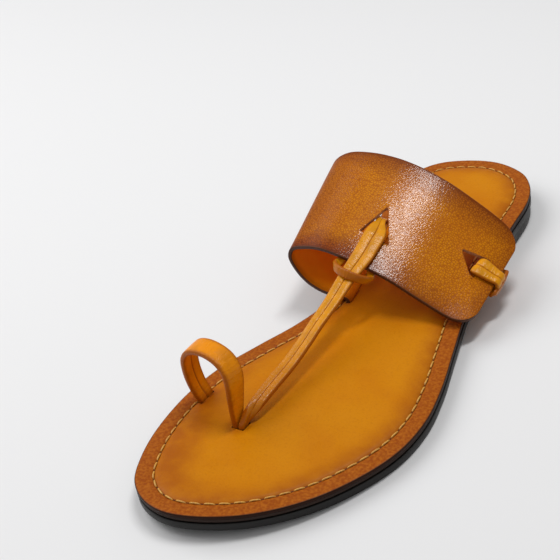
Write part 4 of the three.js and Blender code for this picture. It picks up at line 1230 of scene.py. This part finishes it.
def side_thong_knots(side):
    y = side_slot_y + side * LACE_WIDTH * LACE_TOUCH / 2
    lying = CROWN + GAP + LACE_THICKNESS / 2
    turn = LACE_THICKNESS / 2 + SLOT_CLEARANCE + GAP

    def place(x, height, across, up):
        return (over_footbed(x, y, height), unit((across, 0, up)), LACE_WIDTH, LACE_THICKNESS)

    knots = [
        place(side_slot_x, SLOT_FLOOR, -1, 0),
        place(side_slot_x, lying - turn, -1, 0),
        place(side_slot_x + turn * RIM_BEND, lying - turn * RIM_BEND + GAP, -1, 1),
        place(side_slot_x + turn * RIM_PAST, lying + GAP, 0, 1),
    ]
    edge = side_frame(0, side * SIDE_EDGE_WIDTH * LACE_TOUCH / 2)
    point, up, inward, _ = (way[0] for way in edge)
    round_up = LACE_LIFT + GAP
    round_out = LACE_THICKNESS / 2 + GAP * 2
    for degrees in AROUND_EDGE:
        angle = math.radians(degrees)
        at = point + up * round_up * math.cos(angle) + inward * round_out * math.sin(angle)
        looks = -up * math.cos(angle) - inward * math.sin(angle)
        knots.append((at, looks, SIDE_EDGE_WIDTH, LACE_THICKNESS))
    return knots


FRONT_TIE = {
    "frame_at": front_frame, "hitch": FRONT_HITCH, "through": FRONT_THROUGH, "ring": FRONT_RING,
    "ring_sections": FRONT_RING_SECTIONS, "edge_width": FRONT_EDGE_WIDTH, "facing": 1,
}
SIDE_TIE = {
    "frame_at": side_frame, "hitch": SIDE_HITCH, "through": SIDE_THROUGH, "ring": SIDE_RING,
    "ring_sections": SIDE_RING_SECTIONS, "edge_width": SIDE_EDGE_WIDTH, "facing": -1,
}


def make_lace(name, thong_knots, tie):
    """Both halves of a thong, each swept on its own side and kept in one mesh."""
    section = strap_section(7, corner=0.3, crown=0.22)
    points = []
    faces = []
    values = {"length": [], "rim": [], "through": [], "shade": []}
    for side in (-1, 1):
        knots = thong_knots(side) + hitch_knots(tie, side)
        base = sum(len(part) for part in points)
        half_points, half_faces, half_values = swept(knots, LACE_STEP, section)
        foot = 1 - smooth_step(half_points[:, 2] - footbed_height(half_points[:, 1]), 0.5, 6)
        tail = smooth_step(half_values["length"] - half_values["length"].max() + LACE_TAIL, 0, 12)
        lower = 1 - smooth_step(half_points[:, 1], -75, 5)
        shades = [foot * LACE_FOOT_SHADE, tail * LACE_TAIL_SHADE, lower * LACE_LOWER_SHADE]
        half_values["shade"] = np.maximum.reduce(shades)
        points.append(half_points)
        faces += [tuple(base + i for i in face) for face in half_faces]
        for key, numbers in half_values.items():
            values[key].append(numbers)
    values = {key: np.concatenate(numbers) for key, numbers in values.items()}
    lace = make_object(name, np.vstack(points), faces, values, materials=[LACE])
    turn_outward(lace)
    soften_edges(lace, 60)
    return lace


def settle(piece, node=None):
    """Hangs a piece on the sandal and hides the imported part that it stands for, if any."""
    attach(piece, "root")
    if node is not None:
        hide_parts(node)


settle(make_outsole(), "outsole")
settle(make_board(), "insole_board")
settle(make_footbed(), "footbed")
threads, holes = make_stitches()
settle(threads)
settle(holes)
settle(make_band(), "instep_band")
settle(make_loop(), "toe_loop")
settle(make_lace("toe_thong_leather", toe_thong_knots, FRONT_TIE), "toe_thong")
settle(make_lace("side_thong_leather", side_thong_knots, SIDE_TIE), "side_thong")


# Floor, light and camera
def make_floor():
    s = Shader("studio_floor", 0.6)
    s.colour(FLOOR_PALE)
    corners = FLOOR_REACH * np.array([(-1, -1, 0), (1, -1, 0), (1, 1, 0), (-1, 1, 0)])
    floor = make_object("studio_floor", corners, [(0, 1, 2, 3)], materials=[s.material])


def add_light(name, place, target, size, watts):
    data = bpy.data.lights.new(name, "AREA")
    data.shape = "RECTANGLE"
    data.size, data.size_y = size
    data.energy = watts
    light = bpy.data.objects.new(name, data)
    light.location = place
    aim = Vector(target) - Vector(place)
    light.rotation_mode = "QUATERNION"
    light.rotation_quaternion = aim.to_track_quat("-Z", "Y")
    bpy.context.collection.objects.link(light)


def add_camera():
    data = bpy.data.cameras.new("camera")
    data.lens = CAMERA_LENS
    data.sensor_width = CAMERA_SENSOR
    data.clip_start = 0.01
    data.clip_end = 20
    camera = bpy.data.objects.new("camera", data)
    forward = Vector(CAMERA_FORWARD).normalized()
    up = Vector(CAMERA_UP)
    right = forward.cross(up).normalized()
    up = right.cross(forward)
    turned = Matrix((right, up, -forward)).transposed()
    camera.matrix_world = Matrix.Translation(Vector(CAMERA_PLACE) * METRE) @ turned.to_4x4()
    bpy.context.collection.objects.link(camera)
    bpy.context.scene.camera = camera


def add_world():
    world = bpy.data.worlds.new("studio")
    world.use_nodes = True
    background = world.node_tree.nodes["Background"]
    background.inputs["Color"].default_value = (1, 1, 1, 1)
    background.inputs["Strength"].default_value = WORLD_STRENGTH
    bpy.context.scene.world = world


make_floor()
add_world()
add_light("overhead_strip", (0.085, 0.213, 0.9), (0.0, 0.03, 0.045), (0.12, 0.36), 3.5)
add_light("broad_left", (-1.0, -0.05, 0.9), (-0.62, 0.2, 0.0), (1.1, 1.1), 11)
add_camera()
bpy.context.scene.view_settings.view_transform = "Standard"
